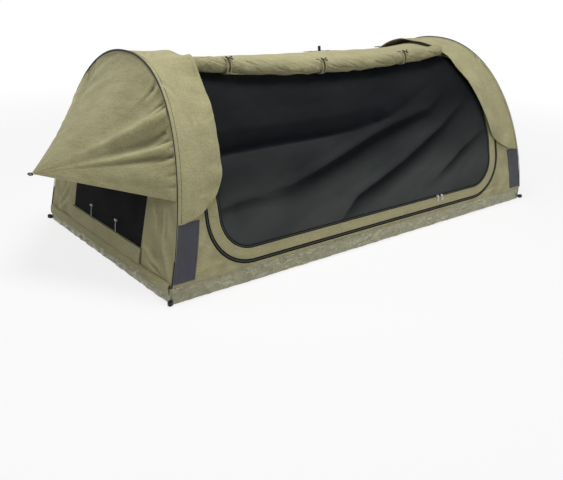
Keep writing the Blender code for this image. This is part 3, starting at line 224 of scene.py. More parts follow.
def fold(u, v, line, profile):
    """Height of a fold that follows a line of (u, v, strength) points. Its profile is (distance to the left, height)
    pairs, where left is the side on the left hand when walking along the line."""
    best = np.full(np.broadcast(u, v).shape, 1e9)
    height = np.zeros(best.shape)
    distances, heights = zip(*profile)
    for (ua, va, sa), (ub, vb, sb) in zip(line, line[1:]):
        du, dv = ub - ua, vb - va
        length = math.hypot(du, dv)
        near = np.clip(((u - ua) * du + (v - va) * dv) / length**2, 0, 1)
        gap = np.hypot(u - ua - near * du, v - va - near * dv)
        signed = np.where((v - va) * du - (u - ua) * dv >= 0, gap, -gap)
        here = np.interp(signed, distances, heights) * (sa + (sb - sa) * near)
        closer = gap < best
        best, height = np.where(closer, gap, best), np.where(closer, here, height)
    return height


def folds_of(u, v, lines, profile):
    return sum(fold(u, v, line, profile) for line in lines)


def soften(field, times):
    """Blurs a grid of heights, with its edges kept."""
    for _ in range(times):
        wide = np.pad(field, 1, mode="edge")
        field = (wide[:-2, 1:-1] + wide[2:, 1:-1] + wide[1:-1, :-2] + wide[1:-1, 2:] + 4 * wide[1:-1, 1:-1]) / 8
    return field


def sway(x, girth):
    """How far the tent's skin stands off its taut shape: nothing at the hoops, the tub and the zip sliders."""
    free = smooth_step(end_x(girth) - np.abs(x), 0, 0.22) * smooth_step(from_floor(girth), 0.15, 0.34)
    return (0.0032 * ripple(x, girth, 0.42, 11, 1.6) + 0.0010 * ripple(x, girth, 0.12, 12, 1.4, 0.5)) * free


def skin_grid(x, girth, lift=0.0):
    return skin(x, girth, sway(x, girth) + lift)


# Meshes
def pair(a, b):
    return np.stack(np.broadcast_arrays(a, b), -1)


def between(inner, outer, shares):
    """Both coordinates of a grid that runs from one outline, at share 0, to another."""
    return (inner[:, k, None] * (1 - shares) + outer[:, k, None] * shares for k in (0, 1))


def hem_steps(low, high, rows, inside, count):
    """Places from low to high that are close together where the hems are."""
    rows = np.array(rows)
    return np.concatenate([low + rows, np.linspace(low + inside, high - inside, count), high - rows[::-1]])


def link(name, data):
    item = bpy.data.objects.new(name, data)
    bpy.context.scene.collection.objects.link(item)
    return item


def from_bmesh(bm, name):
    mesh = bpy.data.meshes.new(name)
    bm.to_mesh(mesh)
    bm.free()
    return mesh


def add_layer(mesh, name, places):
    """A UV layer that holds one place for each point of a mesh."""
    corners = np.zeros(len(mesh.loops), np.int64)
    mesh.loops.foreach_get("vertex_index", corners)
    layer = mesh.uv_layers.new(name=name)
    layer.data.foreach_set("uv", np.asarray(places, np.float32)[corners].ravel())


def set_points(mesh, points):
    mesh.vertices.foreach_set("co", points.astype(np.float32).ravel())
    mesh.update()


def mesh_from(name, points, faces, layers, look, angle=SHARP_ANGLE_DEG):
    """A smooth object with sharp edges from an angle up, from points, faces and places for its UV layers."""
    mesh = bpy.data.meshes.new(name)
    mesh.from_pydata(points.reshape(-1, 3).tolist(), [], faces)
    for layer, places in layers.items():
        add_layer(mesh, layer, places)
    mesh.update()
    mesh.shade_smooth()
    mesh.set_sharp_from_angle(angle=math.radians(angle))
    mesh.materials.append(LOOKS[look])
    return link(name, mesh)


def grid_faces(rows, columns, start, turned, ring_rows):
    """Quads of a grid whose points are numbered row by row from start."""
    i, j = np.meshgrid(np.arange(rows if ring_rows else rows - 1), np.arange(columns - 1), indexing="ij")
    after = (i + 1) % rows
    quads = np.stack([i * columns + j, after * columns + j, after * columns + j + 1, i * columns + j + 1], -1)
    return ((quads[..., ::-1] if turned else quads).reshape(-1, 4) + start).tolist()


def loft_faces(rings, sides, closed=False):
    """Quads between rings of points, with a cap on either end unless the last ring joins the first."""
    faces = []
    for i in range(rings if closed else rings - 1):
        here, there = i * sides, (i + 1) % rings * sides
        for j in range(sides):
            after = (j + 1) % sides
            faces.append((here + j, here + after, there + after, there + j))
    if not closed:
        faces += [tuple(range(sides))[::-1], tuple(range((rings - 1) * sides, rings * sides))]
    return faces


def grid_normals(middle, turned=False, ring_rows=False):
    along = np.roll(middle, -1, 0) - np.roll(middle, 1, 0) if ring_rows else np.gradient(middle, axis=0)
    return unit(np.cross(along, np.gradient(middle, axis=1))) * (-1 if turned else 1)


def sheet(name, middle, thickness, cloth, hem, look, turned=False, ring_rows=False):
    """A closed sheet of cloth from a grid of points on its middle. Rows are u and columns v, and u x v points out.
    Cloth holds its flat coordinates, and hem the run along its edge and the distance from it."""
    rows, columns = middle.shape[:2]
    half = grid_normals(middle, turned, ring_rows) * (np.broadcast_to(thickness, (rows, columns))[..., None] / 2)
    points = np.concatenate([(middle + half).reshape(-1, 3), (middle - half).reshape(-1, 3)])
    count = rows * columns
    faces = grid_faces(rows, columns, 0, turned, ring_rows) + grid_faces(rows, columns, count, not turned, ring_rows)
    if ring_rows:
        rim = []
        for i in range(rows):
            here, there = i * columns, (i + 1) % rows * columns
            rim += [(here, there), (there + columns - 1, here + columns - 1)]
    else:
        loop = [i * columns for i in range(rows)]
        loop += [(rows - 1) * columns + j for j in range(1, columns)]
        loop += [i * columns + columns - 1 for i in range(rows - 2, -1, -1)]
        loop += [j for j in range(columns - 2, 0, -1)]
        rim = zip(loop, loop[1:] + loop[:1])
    for here, there in rim:
        face = (here, here + count, there + count, there)
        faces.append(face[::-1] if turned else face)
    layers = {}
    for layer, (first, second) in (("cloth", cloth), ("hem", hem)):
        layers[layer] = np.tile(pair(first, second + np.zeros((rows, columns))).reshape(-1, 2), (2, 1))
    return mesh_from(name, points, faces, layers, look)


def relief_shade(relief, size, gain):
    """Painted shade for the hollows and painted light for the crests of a sheet's relief, from -0.4 to 0.3."""
    return np.clip((relief - soften(relief, size)) * gain, -0.4, 0.3)


def add_painted_light(piece, tone):
    """Keeps painted light and shade for each point of a sheet's grid, the same on both of its faces."""
    add_layer(piece.data, "tone", np.column_stack([np.tile(tone.ravel(), 2), np.zeros(2 * tone.size)]))


def hem_thickness(edge, width=HEM_WIDTH):
    """Cloth is doubled where it is hemmed."""
    return CLOTH + (HEM - CLOTH) * smooth_step(width + 0.0008 - edge, 0, HEM_STEP)


def edge_run(middle):
    """Length along the rows of a grid, for every point of it."""
    steps = np.linalg.norm(np.diff(middle, axis=0), axis=-1)
    return np.concatenate([np.zeros((1, middle.shape[1])), np.cumsum(steps, 0)])


def split(piece, height):
    """Cuts a sheet in two at a height, so that its foot can stay when the rest comes down."""
    whole = piece.data
    look = whole.materials[0]
    parts = []
    for upper in (True, False):
        bm = bmesh.new()
        bm.from_mesh(whole)
        bmesh.ops.bisect_plane(
            bm, geom=bm.verts[:] + bm.edges[:] + bm.faces[:], plane_co=(0, 0, height), plane_no=(0, 0, 1),
            clear_inner=upper, clear_outer=not upper,
        )
        for face in bmesh.ops.holes_fill(bm, edges=bm.edges[:])["faces"]:
            face.smooth = False
        mesh = from_bmesh(bm, piece.name)
        mesh.set_sharp_from_angle(angle=math.radians(SHARP_ANGLE_DEG))
        mesh.materials.append(look)
        if upper:
            piece.data = mesh
        parts.append(piece if upper else link(piece.name + "_foot", mesh))
    return parts


def tube(name, path, radii, sides, look):
    """A round body along a path of points, closed at both ends."""
    path = np.asarray(path, float)
    along = unit(np.gradient(path, axis=0))
    first = np.zeros_like(path)
    guess = np.array((0, 0, 1.0)) if abs(along[0, 2]) < 0.9 else np.array((1.0, 0, 0))
    for index, direction in enumerate(along):
        guess = guess - direction * (guess @ direction)
        guess = first[index] = guess / np.linalg.norm(guess)
    second = np.cross(along, first)
    turns = (np.arange(sides) / sides * TAU)[None, :, None]
    ring = np.cos(turns) * first[:, None] + np.sin(turns) * second[:, None]
    points = path[:, None] + ring * np.broadcast_to(radii, len(path))[:, None, None]
    return mesh_from(name, points, loft_faces(len(path), sides), {}, look)


def strap(name, path, across, width, look, closed=False, thickness=WEB):
    """Flat webbing along a path: across says which way its width lies at each point."""
    path = np.asarray(path, float)
    across = unit(np.broadcast_to(np.asarray(across, float), path.shape))
    out = np.cross(unit(np.roll(path, -1, 0) - np.roll(path, 1, 0) if closed else np.gradient(path, axis=0)), across)
    half, thin = width / 2, thickness / 2
    corner = thin * 0.8
    profile = []
    for sx, sy, first in ((1, 1, 0), (-1, 1, 1), (-1, -1, 2), (1, -1, 3)):
        for turn in (first * PI / 2, (first + 0.5) * PI / 2, (first + 1) * PI / 2):
            place = sx * (half - corner) + corner * math.cos(turn), sy * (thin - corner) + corner * math.sin(turn)
            profile.append(place)
    profile = np.array(profile)[None]
    points = path[:, None] + across[:, None] * profile[..., :1] + out[:, None] * profile[..., 1:]
    piece = mesh_from(name, points, loft_faces(len(path), profile.shape[1], closed), {}, look, 60)
    bm = bmesh.new()
    bm.from_mesh(piece.data)
    bmesh.ops.recalc_face_normals(bm, faces=bm.faces[:])
    bm.to_mesh(piece.data)
    bm.free()
    return piece


def stadium(length, height, steps=12):
    """Outline of a slot with round ends."""
    radius = height / 2
    points = []
    for sign, first in ((1, -PI / 2), (-1, PI / 2)):
        for turn in np.linspace(first, first + PI, steps + 1):
            points.append((sign * (length / 2 - radius) + radius * math.cos(turn), radius * math.sin(turn)))
    return np.array(points)


# What each piece rides on
def give(piece, body, slot, *nodes):
    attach(piece, body)
    if nodes:
        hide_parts(*nodes)


def declare(piece, held, *rests_on):
    """Works out a sheet's cut from its cloth coordinates: its area, width and length, those of strips when the cut is
    frame-like. Nothing is kept.
    """
    mesh = piece.data
    places = np.zeros(len(mesh.loops) * 2, np.float32)
    mesh.uv_layers["cloth"].data.foreach_get("uv", places)
    places = places.reshape(-1, 2).astype(float)
    mesh.calc_loop_triangles()
    corners = np.zeros(len(mesh.loop_triangles) * 3, np.int32)
    mesh.loop_triangles.foreach_get("loops", corners)
    a, b, c = (places[corners.reshape(-1, 3)[:, k]] for k in range(3))
    both_faces = np.abs((b - a)[:, 0] * (c - a)[:, 1] - (b - a)[:, 1] * (c - a)[:, 0]).sum() / 2
    area = float(both_faces / 2)
    width, length = (float(s) for s in np.sort(places.max(0) - places.min(0)))
    if area < STRIP_SHARE * width * length:
        length = 2 * (width + length)
        width = area / length


def lower(piece):
    """Gives a piece its own copy of its mesh."""
    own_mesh(piece)


def lay_skin(piece, node, slot, *rests_on, cut=True):
    """Gives a sheet of the tent's skin to the ground body, cut in two at the cut height unless cut is false."""
    parts = split(piece, CUT_HEIGHT) if cut else [piece]
    for part in parts:
        if part is piece:
            give(part, "ground", slot, node)
            lower(part)
        else:
            give(part, "ground", slot)
        declare(part, "stretched", *(rests_on or ("foot_pole_middle", "head_pole_middle")))


def settle_roll(piece, slot, *nodes):
    """Gives what lies on the roof to the ground body, with its own copy of its mesh."""
    give(piece, "ground", slot, *nodes)
    lower(piece)


def settle_skin(piece, *nodes):
    give(piece, "ground", "webbing", *nodes)
    lower(piece)


def hang_on_hoop(piece, end, slot, *nodes):
    """Gives a piece to a hoop, with its own copy of its mesh."""
    give(piece, f"{end}_hoop", slot, *nodes)
    anchor = end_place(end, np.array(0.0), np.array(HOOP_HEIGHT / 2), -VISOR_ROOT_GAP)
    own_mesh(piece)


# Materials
class Look:
    """A node tree under construction, of a material or of the world."""

    def __init__(self, owner):
        owner.use_nodes = True
        self.owner, self.tree = owner, owner.node_tree

    def feed(self, socket, value):
        if isinstance(value, bpy.types.NodeSocket):
            self.tree.links.new(value, socket)
        else:
            socket.default_value = value

    def add(self, kind, inputs=None, **settings):
        node = self.tree.nodes.new("ShaderNode" + kind)
        for key, value in settings.items():
            setattr(node, key, value)
        for key, value in (inputs or {}).items():
            self.feed(node.inputs[key], value)
        return node

    def math(self, operation, a, b=0.0, clamp=False):
        return self.add("Math", {0: a, 1: b}, operation=operation, use_clamp=clamp).outputs[0]

    def plus(self, a, b, clamp=False):
        return self.math("ADD", a, b, clamp)

    def less(self, a, b):
        return self.math("SUBTRACT", a, b)

    def times(self, a, b):
        return self.math("MULTIPLY", a, b)

    def wave(self, value, length):
        return self.math("SINE", self.times(value, TAU / length))

    def mix(self, share, a, b):
        return self.add("Mix", {0: share, 6: a, 7: b}, data_type="RGBA").outputs[2]

    def remap(self, value, low, high, to_low=0.0, to_high=1.0):
        inputs = {"Value": value, "From Min": low, "From Max": high, "To Min": to_low, "To Max": to_high}
        return self.add("MapRange", inputs).outputs[0]

    def layer(self, name):
        return self.add("UVMap", uv_map=name).outputs[0]

    def place(self):
        return self.add("TexCoord").outputs["Object"]

    def parts(self, vector):
        return self.add("SeparateXYZ", {0: vector}).outputs[:2]

    def scaled(self, vector, *scale):
        return self.add("VectorMath", {0: vector, 1: scale}, operation="MULTIPLY").outputs[0]

    def noise(self, vector, scale, detail=2.0, roughness=0.5):
        inputs = {"Vector": vector, "Scale": scale, "Detail": detail, "Roughness": roughness}
        return self.add("TexNoise", inputs).outputs[0]

    def crests(self, noise):
        """Thin lines where a noise crosses its middle."""
        return self.remap(self.math("ABSOLUTE", self.less(noise, 0.5)), 0.0, 0.022, 1.0, 0.0)

    def weave(self, vector, yarn):
        """Height of a plain weave with that spacing of its yarns, from -1 to 1."""
        return self.times(*(self.wave(part, 2 * yarn) for part in self.parts(vector)))

    def stitches(self, rows, pitch=0.0042):
        """(thread, groove) of stitched lines at those distances from a hem's edge."""
        run, edge = self.parts(self.layer("hem"))
        line = 0.0
        for row in rows:
            gap = self.math("ABSOLUTE", self.less(edge, row))
            line = self.math("MAXIMUM", line, self.remap(gap, 0.0004, 0.0009, 1.0, 0.0))
        dash = self.math("LESS_THAN", self.math("FRACT", self.math("DIVIDE", run, pitch)), 0.72)
        return self.times(line, dash), line

    def bump(self, height, distance, strength=1.0, normal=None):
        inputs = {"Height": height, "Distance": distance, "Strength": strength}
        if normal is not None:
            inputs["Normal"] = normal
        return self.add("Bump", inputs).outputs[0]

    def straight(self):
        """1 for what the camera sees, also by reflection or through something clear."""
        seen = self.add("LightPath").outputs
        first = self.math("MAXIMUM", seen["Is Camera Ray"], seen["Is Glossy Ray"])
        return self.math("MAXIMUM", first, seen["Is Transmission Ray"])

    def set(self, **values):
        for key, value in values.items():
            self.feed(self.tree.nodes["Principled BSDF"].inputs[key.replace("_", " ")], value)
        return self.owner


def new_look(name):
    return Look(bpy.data.materials.new(name))


def tint(colour, *shares, lift=0.0):
    """A colour with its channels multiplied by one share, or by one share each."""
    return (*(min(1, c * s + lift) for c, s in zip(colour, shares if len(shares) > 1 else shares * 3)), 1.0)


def canvas_look(name, colour, contrast=1.0, rows=(0.0035, 0.0105), yarn=0.0009, thread=1.12):
    """Heavy plain-woven cloth: yarns of uneven thickness and shade, faint stains, painted shade along thin crinkle
    lines, painted light and shade from a tone layer, stitched hems with worn edges.
    """
    look = new_look(name)
    cloth = look.layer("cloth")
    weave = look.weave(cloth, yarn)
    slubs = look.plus(*(look.noise(look.scaled(cloth, *size), 1.0, 3.0) for size in ((30, 900, 1), (900, 30, 1))))
    mottle = look.noise(cloth, 170.0, 5.0, 0.66)
    blotch = look.noise(cloth, 9.0, 5.0, 0.62)
    crinkle = look.noise(look.scaled(cloth, 1.0, 1.5, 1), 13.0, 4.0, 0.58)
    tone = look.times(look.less(mottle, 0.5), 1.35 * contrast)
    tone = look.plus(tone, look.times(look.less(blotch, 0.5), 0.75 * contrast))
    # Painted shade: thin darker lines along the crinkle creases
    tone = look.less(tone, look.times(look.crests(crinkle), 0.10 * contrast))
    tone = look.plus(tone, look.times(look.less(slubs, 1.0), 0.30 * contrast))
    tone = look.plus(look.plus(tone, look.times(weave, 0.06)), 0.5, clamp=True)
    paint = look.mix(tone, tint(colour, 0.68, 0.67, 0.62), tint(colour, 1.30, 1.31, 1.38))
    _, edge = look.parts(look.layer("hem"))
    sewn, groove = look.stitches(rows)
    paint = look.mix(look.times(look.remap(edge, 0.0, 0.0022, 1.0, 0.0), 0.45), paint, tint(colour, 1.42))
    paint = look.mix(look.times(groove, 0.55), paint, tint(colour, 0.38))
    paint = look.mix(look.times(sewn, 0.8), paint, tint(colour, thread))
    # Painted shade in the hollows and painted light on the crests of the cloth's folds, from its tone layer
    painted_hollow_shade, _ = look.parts(look.layer("tone"))
    paint = look.add("VectorMath", {0: paint, "Scale": look.plus(painted_hollow_shade, 1.0)}, operation="SCALE").outputs[0]
    normal = look.bump(look.plus(look.times(weave, 0.5), slubs), 0.00016, 0.8)
    normal = look.bump(look.less(look.times(sewn, 1.2), groove), 0.0006, 0.8, normal)
    normal = look.bump(crinkle, 0.020, 0.35, look.bump(mottle, 0.0012, 0.7, normal))
    return look.set(
        Base_Color=paint, Roughness=look.remap(mottle, 0.3, 0.7, 0.82, 0.94), Normal=normal,
        Sheen_Weight=0.10, Sheen_Roughness=0.5, Specular_IOR_Level=0.25,
    )


def net_look(name, dark, light, toned=False, pitch=0.0013):
    """Fine black insect mesh: round threads with dark holes between them, painted as the shade of the inside seen
    through them. A toned net is painted paler where light comes through it and darker where its tone layer holds
    painted shade.
    """
    look = new_look(name)
    cloth = look.layer("cloth")
    across, down = (look.math("ABSOLUTE", look.wave(part, 2 * pitch)) for part in look.parts(cloth))
    threads = look.remap(look.math("MINIMUM", across, down), 0.25, 0.75, 1.0, 0.0)
    streak = look.noise(look.scaled(cloth, 12, 260, 1), 1.0, 3.0)
    uneven = look.plus(look.times(streak, 0.5), look.times(look.noise(cloth, 9.0, 3.0), 0.5))
    tone = look.times(uneven, 0.4)
    if toned:
        # Painted light where light comes through the mesh, and painted shade in its folds and under the roll, from the
        # tone layer
        painted_light_and_shade, _ = look.parts(look.layer("tone"))
        tone = look.plus(look.times(tone, painted_light_and_shade), look.times(painted_light_and_shade, 0.8), clamp=True)
    dark, light = (*dark, 1.0), (*light, 1.0)
    yarn = look.mix(tone, dark, light)
    # The holes are painted darker than the threads: painted shade of the inside seen through the mesh
    return look.set(
        Base_Color=look.mix(look.times(threads, 0.6), yarn, look.mix(0.5, yarn, dark)),
        Roughness=look.remap(streak, 0.3, 0.7, 0.66, 0.80),
        Normal=look.bump(threads, 0.0003, 0.6), Specular_IOR_Level=0.04,
    )


def coated_look(name, colour):
    """PVC-coated cloth: a fine scrim under a skin with crinkles, with painted highlights along some of their crests.
    """
    look = new_look(name)
    cloth = look.layer("cloth")
    grain = look.noise(cloth, 420.0, 3.0)
    crinkle = look.noise(look.scaled(cloth, 1.0, 1.7, 1), 15.0, 3.0, 0.55)
    # Patches where the painted highlight shows on the crinkle crests
    glint_patches = look.remap(look.noise(look.scaled(cloth, 1.0, 2.0, 1), 7.0, 2.0), 0.50, 0.62)
    crest = look.times(look.crests(crinkle), glint_patches)
    stain = look.noise(cloth, 6.0, 4.0, 0.6)
    tone = look.plus(look.times(stain, 0.65), look.times(grain, 0.35))
    paint = look.mix(tone, tint(colour, 0.72), tint(colour, 1.32))
    # Painted highlight: pale lines along the crinkle crests
    paint = look.mix(look.times(crest, 0.75), paint, tint(colour, 2.1, lift=0.07))
    sewn, groove = look.stitches((0.0035, 0.0080))
    normal = look.bump(look.plus(grain, look.weave(cloth, 0.0012)), 0.00010, 0.6)
    normal = look.bump(crinkle, 0.026, 0.85, normal)
    return look.set(
        Base_Color=look.mix(look.times(groove, 0.5), paint, tint(colour, 0.5)),
        Roughness=look.remap(stain, 0.3, 0.7, 0.22, 0.42),
        Normal=look.bump(look.less(sewn, groove), 0.0005, 0.7, normal), Coat_Weight=0.40, Coat_Roughness=0.20,
    )


def zip_look(name):
    """Zip tape with a coil down its middle, whose teeth show as fine ribs."""
    look = new_look(name)
    run, share = look.parts(look.layer("hem"))
    ribs = look.wave(run, 0.0021)
    middle = look.math("ABSOLUTE", look.less(share, 0.5))
    coil = look.remap(middle, 0.15, 0.19, 1.0, 0.0)
    twill = look.math("SINE", look.plus(look.times(run, TAU / 0.0016), look.times(share, TAU * 14)))
    dust = look.noise(look.layer("hem"), 60.0, 4.0)
    tape = look.mix(look.times(dust, 0.7), (0.0030, 0.0030, 0.0034, 1), (0.0080, 0.0080, 0.0085, 1))
    black = (0.006, 0.006, 0.006, 1)
    teeth = look.mix(look.remap(ribs, -1.0, 1.0), black, (0.040, 0.040, 0.040, 1))
    slit = look.remap(middle, 0.012, 0.03, 1.0, 0.0)
    return look.set(
        Base_Color=look.mix(slit, look.mix(coil, tape, teeth), black),
        Roughness=look.remap(coil, 0.0, 1.0, 0.85, 0.50),
        Normal=look.bump(look.plus(look.times(coil, ribs), look.times(twill, 0.2)), 0.0004, 0.8),
        Specular_IOR_Level=look.remap(coil, 0.0, 1.0, 0.05, 0.30),
    )


def webbing_look(name, colour):
    """Flat woven webbing with ribs along it."""
    look = new_look(name)
    place = look.place()
    x, y, z = look.add("SeparateXYZ", {0: place}).outputs[:3]
    ribs = look.wave(look.plus(look.plus(x, y), z), 0.0018)
    tone = look.plus(look.times(ribs, 0.16), look.times(look.noise(place, 900.0, 3.0), 0.8), clamp=True)
    worn = look.remap(look.noise(place, 70.0, 4.0), 0.55, 0.8, 0.0, 0.4)
    paint = look.mix(worn, look.mix(tone, tint(colour, 0.6), tint(colour, 1.9)), tint(colour, 2.6))
    return look.set(Base_Color=paint, Roughness=0.8, Normal=look.bump(ribs, 0.0003, 0.6), Sheen_Weight=0.1)


def metal_look(name, colour, roughness, along):
    """Bare metal with fine drawn marks and a few rubbed places."""
    look = new_look(name)
    place = look.place()
    marks = look.noise(look.scaled(place, *along), 1.0, 3.0)
    return look.set(
        Base_Color=look.mix(look.noise(place, 90.0, 4.0), tint(colour, 0.78), tint(colour, 1.12)), Metallic=1.0,
        Roughness=look.remap(marks, 0.3, 0.7, roughness * 0.75, roughness * 1.35),
        Normal=look.bump(marks, 0.0001, 0.4),
    )


def plastic_look(name, colour, roughness):
    """Moulded plastic with a fine grain and duller patches."""
    look = new_look(name)
    place = look.place()
    dull = look.noise(place, 60.0, 4.0)
    return look.set(
        Base_Color=look.mix(dull, tint(colour, 0.75), tint(colour, 1.3)),
        Roughness=look.remap(dull, 0.3, 0.7, roughness * 0.85, roughness * 1.15),
        Normal=look.bump(look.noise(place, 1600.0, 2.0), 0.0001, 0.5),
    )


def floor_look():
    """A pale floor that is near white away from the object and keeps its shadow."""
    look = new_look("studio_floor")
    tree = look.tree
    tree.nodes.remove(tree.nodes["Principled BSDF"])
    distance = look.add("VectorMath", {0: look.place()}, operation="LENGTH").outputs["Value"]
    share = look.times(look.remap(distance, *FLOOR_FADE, FLOOR_GLOW, 1.0), look.straight())
    paint = look.add("BsdfDiffuse", {"Color": (0.86, 0.86, 0.86, 1)}).outputs[0]
    glow = look.add("Emission", {"Color": (1, 1, 1, 1), "Strength": 1.0}).outputs[0]
    mixed = look.add("MixShader", {0: share, 1: paint, 2: glow}).outputs[0]
    tree.links.new(mixed, tree.nodes["Material Output"].inputs["Surface"])
    return look.owner


OLIVE = (0.352, 0.326, 0.176)
LOOKS = {
    "canvas": canvas_look("canvas_weave", OLIVE, 1.15),
    # The wall and roll looks are the same canvas painted darker: painted shade of the end walls under the visors and
    # of the wound roll
    "wall": canvas_look("canvas_weave_wall_shaded", [c * 0.92 for c in OLIVE]),
    "roll": canvas_look("canvas_weave_roll_shaded", [c * 0.84 for c in OLIVE], rows=(0.004,)),
    "net": net_look("insect_mesh", (0.0045, 0.0047, 0.0046), (0.016, 0.0165, 0.017)),
    "door_net": net_look("insect_mesh_door", (0.0026, 0.0031, 0.0050), (0.066, 0.072, 0.070), toned=True),
    "coated": coated_look("coated_groundsheet", (0.262, 0.253, 0.142)),
    "patch": canvas_look("slate_reinforcement", (0.066, 0.067, 0.080), 0.7, (0.003,), 0.0008, 1.5),
    "zip": zip_look("zip_chain"),
    "binding": webbing_look("black_binding", (0.010, 0.010, 0.010)),
    "webbing": webbing_look("black_webbing", (0.014, 0.014, 0.015)),
    "grey_webbing": webbing_look("grey_webbing", (0.16, 0.165, 0.16)),
    "metal": metal_look("nickel_plate", (0.66, 0.66, 0.65), 0.26, (400, 60, 60)),
    "pole": metal_look("drawn_aluminium", (0.58, 0.59, 0.61), 0.34, (500, 20, 500)),
    "plastic": plastic_look("black_moulding", (0.022, 0.022, 0.023), 0.5),
    "toggle": plastic_look("dark_toggle", (0.018, 0.017, 0.016), 0.42),
    "cord": plastic_look("grey_toggle", (0.42, 0.43, 0.42), 0.5),
    "mattress": canvas_look("mattress_cotton", (0.40, 0.40, 0.38), 0.5, (0.004,), 0.0008, 0.8),
}

# Camera, floor and light
CAMERA_TURN_DEG = (39.555, 21.442, 1.505)
CAMERA_PLACE = (-2.074, -2.354, 1.054)
PHOTO_WIDTH, FOCAL_PIXELS, SENSOR_WIDTH = 563, 652, 36
WORLD_LEVEL, FLOOR_GLOW, FLOOR_FADE, FLOOR_GAP, FLOOR_REACH = 0.30, 0.80, (1.6, 4.5), 0.0005, 14
LAMPS = (
    ("overhead", (-0.4, -0.4, 3.1), (0, 0, 0.3), 1.6, 66),
    ("front_fill", (1.8, -4.3, 0.7), (0.1, 0, 0.2), 1.8, 36),
    ("left_edge", (-3.9, 1.9, 1.8), (-0.6, 0, 0.5), 1.2, 20),
    ("left_fill", (-3.3, -2.3, 2.6), (-0.8, 0, 0.5), 1.4, 6),
)


def build_camera():
    """The photograph's viewpoint, fitted to the tub's corners, both hoops and the ridge."""
    yaw, pitch, roll = (math.radians(a) for a in CAMERA_TURN_DEG)
    forward = Vector((math.sin(yaw) * math.cos(pitch), math.cos(yaw) * math.cos(pitch), -math.sin(pitch)))
    right = Vector((math.cos(yaw), -math.sin(yaw), 0))
    up = right.cross(forward)
    turned = math.cos(roll) * right + math.sin(roll) * up, math.cos(roll) * up - math.sin(roll) * right
    matrix = Matrix((*turned, -forward)).transposed().to_4x4()
    matrix.translation = Vector(CAMERA_PLACE)
    data = bpy.data.cameras.new("photo_camera")
    data.sensor_width = SENSOR_WIDTH
    data.lens = FOCAL_PIXELS / PHOTO_WIDTH * SENSOR_WIDTH
    camera = link("photo_camera", data)
    camera.matrix_world = matrix
    bpy.context.scene.camera = camera


def build_stage():
    bm = bmesh.new()
    bmesh.ops.create_grid(bm, x_segments=8, y_segments=8, size=FLOOR_REACH)
    mesh = from_bmesh(bm, "studio_floor")
    mesh.materials.append(floor_look())
    floor = link("studio_floor", mesh)
    floor.location.z = -FLOOR_GAP
    bpy.context.scene.world = bpy.data.worlds.new("studio")
    world = Look(bpy.context.scene.world)
    ground = world.tree.nodes["Background"].inputs
    ground["Color"].default_value = (1.0, 1.0, 1.0, 1.0)
    world.feed(ground["Strength"], world.remap(world.straight(), 0.0, 1.0, WORLD_LEVEL, 1.0))
    for name, place, aim, size, watts in LAMPS:
        data = bpy.data.lights.new(name, "AREA")
        data.shape, data.size, data.energy = "DISK", size, watts
        lamp = link(name, data)
        lamp.location = place
        lamp.rotation_euler = (Vector(aim) - Vector(place)).to_track_quat("-Z", "Y").to_euler()
    bpy.context.scene.view_settings.view_transform = "Standard"


# The tent's skin
DOOR_TOP_GIRTH = RIDGE_GIRTH - DOOR_TOP_TO_RIDGE
FOOT_GIRTH = girth_at_height(TUB_HEIGHT) + LAP_GAP
REAR_SEAM_GIRTH = RIDGE_GIRTH + REAR_SEAM_TO_RIDGE
BORDER_START = MESH_ZIP_WIDTH + SEAM_GAP
BORDER_END = BORDER_START + BORDER_WIDTH
OUTER_ZIP_START = BORDER_END + SEAM_GAP
OUTER_ZIP_END = OUTER_ZIP_START + OUTER_ZIP_WIDTH
PANEL_START = OUTER_ZIP_END + SEAM_GAP


def half_door_path(offset, crown=24, side=44, corner=18):
    """(x, girth) down the left half of the door's outline, about its own middle, and where its corner starts."""
    crown_x, crown_g = DOOR_CROWN_CORNER - DOOR_HALF_WIDTH, DOOR_TOP_GIRTH - DOOR_CROWN_CORNER
    crown_radius = DOOR_CROWN_CORNER + offset
    start = PI - math.asin(min(1, DOOR_CROWN_CORNER / crown_radius))
    turns = np.linspace(start, PI, crown + 1)
    corner_x, corner_g = DOOR_CORNER - DOOR_HALF_WIDTH, DOOR_FOOT_GIRTH + DOOR_CORNER
    corner_radius = DOOR_CORNER + offset
    low_turns = np.linspace(PI, 1.5 * PI, corner + 1)
    down = np.linspace(crown_g, corner_g, side + 1)[1:-1]
    x = [crown_x + crown_radius * np.cos(turns), 0 * down - DOOR_HALF_WIDTH - offset]
    x.append(corner_x + corner_radius * np.cos(low_turns))
    girth = [crown_g + crown_radius * np.sin(turns), down, corner_g + corner_radius * np.sin(low_turns)]
    return pair(np.concatenate(x), np.concatenate(girth)), crown + side


def door_path(offset, foot=130):
    half, corner_start = half_door_path(offset)
    run = np.linspace(half[-1, 0], -half[-1, 0], foot + 1)[1:-1]
    whole = np.concatenate([half, pair(run, half[-1, 1]), half[::-1] * (-1, 1)])
    return whole + (DOOR_X, 0), corner_start, len(half)


def panel_grid(low, high, rows, columns):
    """(x, girth, distance from the nearer hem) of a panel that goes from hoop to hoop."""
    girth = hem_steps(low, high, HEM_ROWS, 0.024, columns)[None, :]
    x, girth = np.broadcast_arrays(np.linspace(-1, 1, rows)[:, None] * end_x(girth), girth)
    return x, girth, np.minimum(girth - low, high - girth)


def build_roof():
    x, girth, edge = panel_grid(DOOR_TOP_GIRTH + SEAM_GAP, REAR_SEAM_GIRTH, 170, 44)
    puckers = 0.0012 * ripple(x, girth, 0.05, 31, 1.0) * smooth_step(0.05 - edge, 0, 0.04)
    middle = skin_grid(x, girth, puckers * smooth_step(end_x(girth) - np.abs(x), 0, 0.1))
    piece = sheet("roof_canvas", middle, hem_thickness(edge), (x, girth), (x, edge), "canvas")
    lay_skin(piece, "roof_panel", "canvas", cut=False)


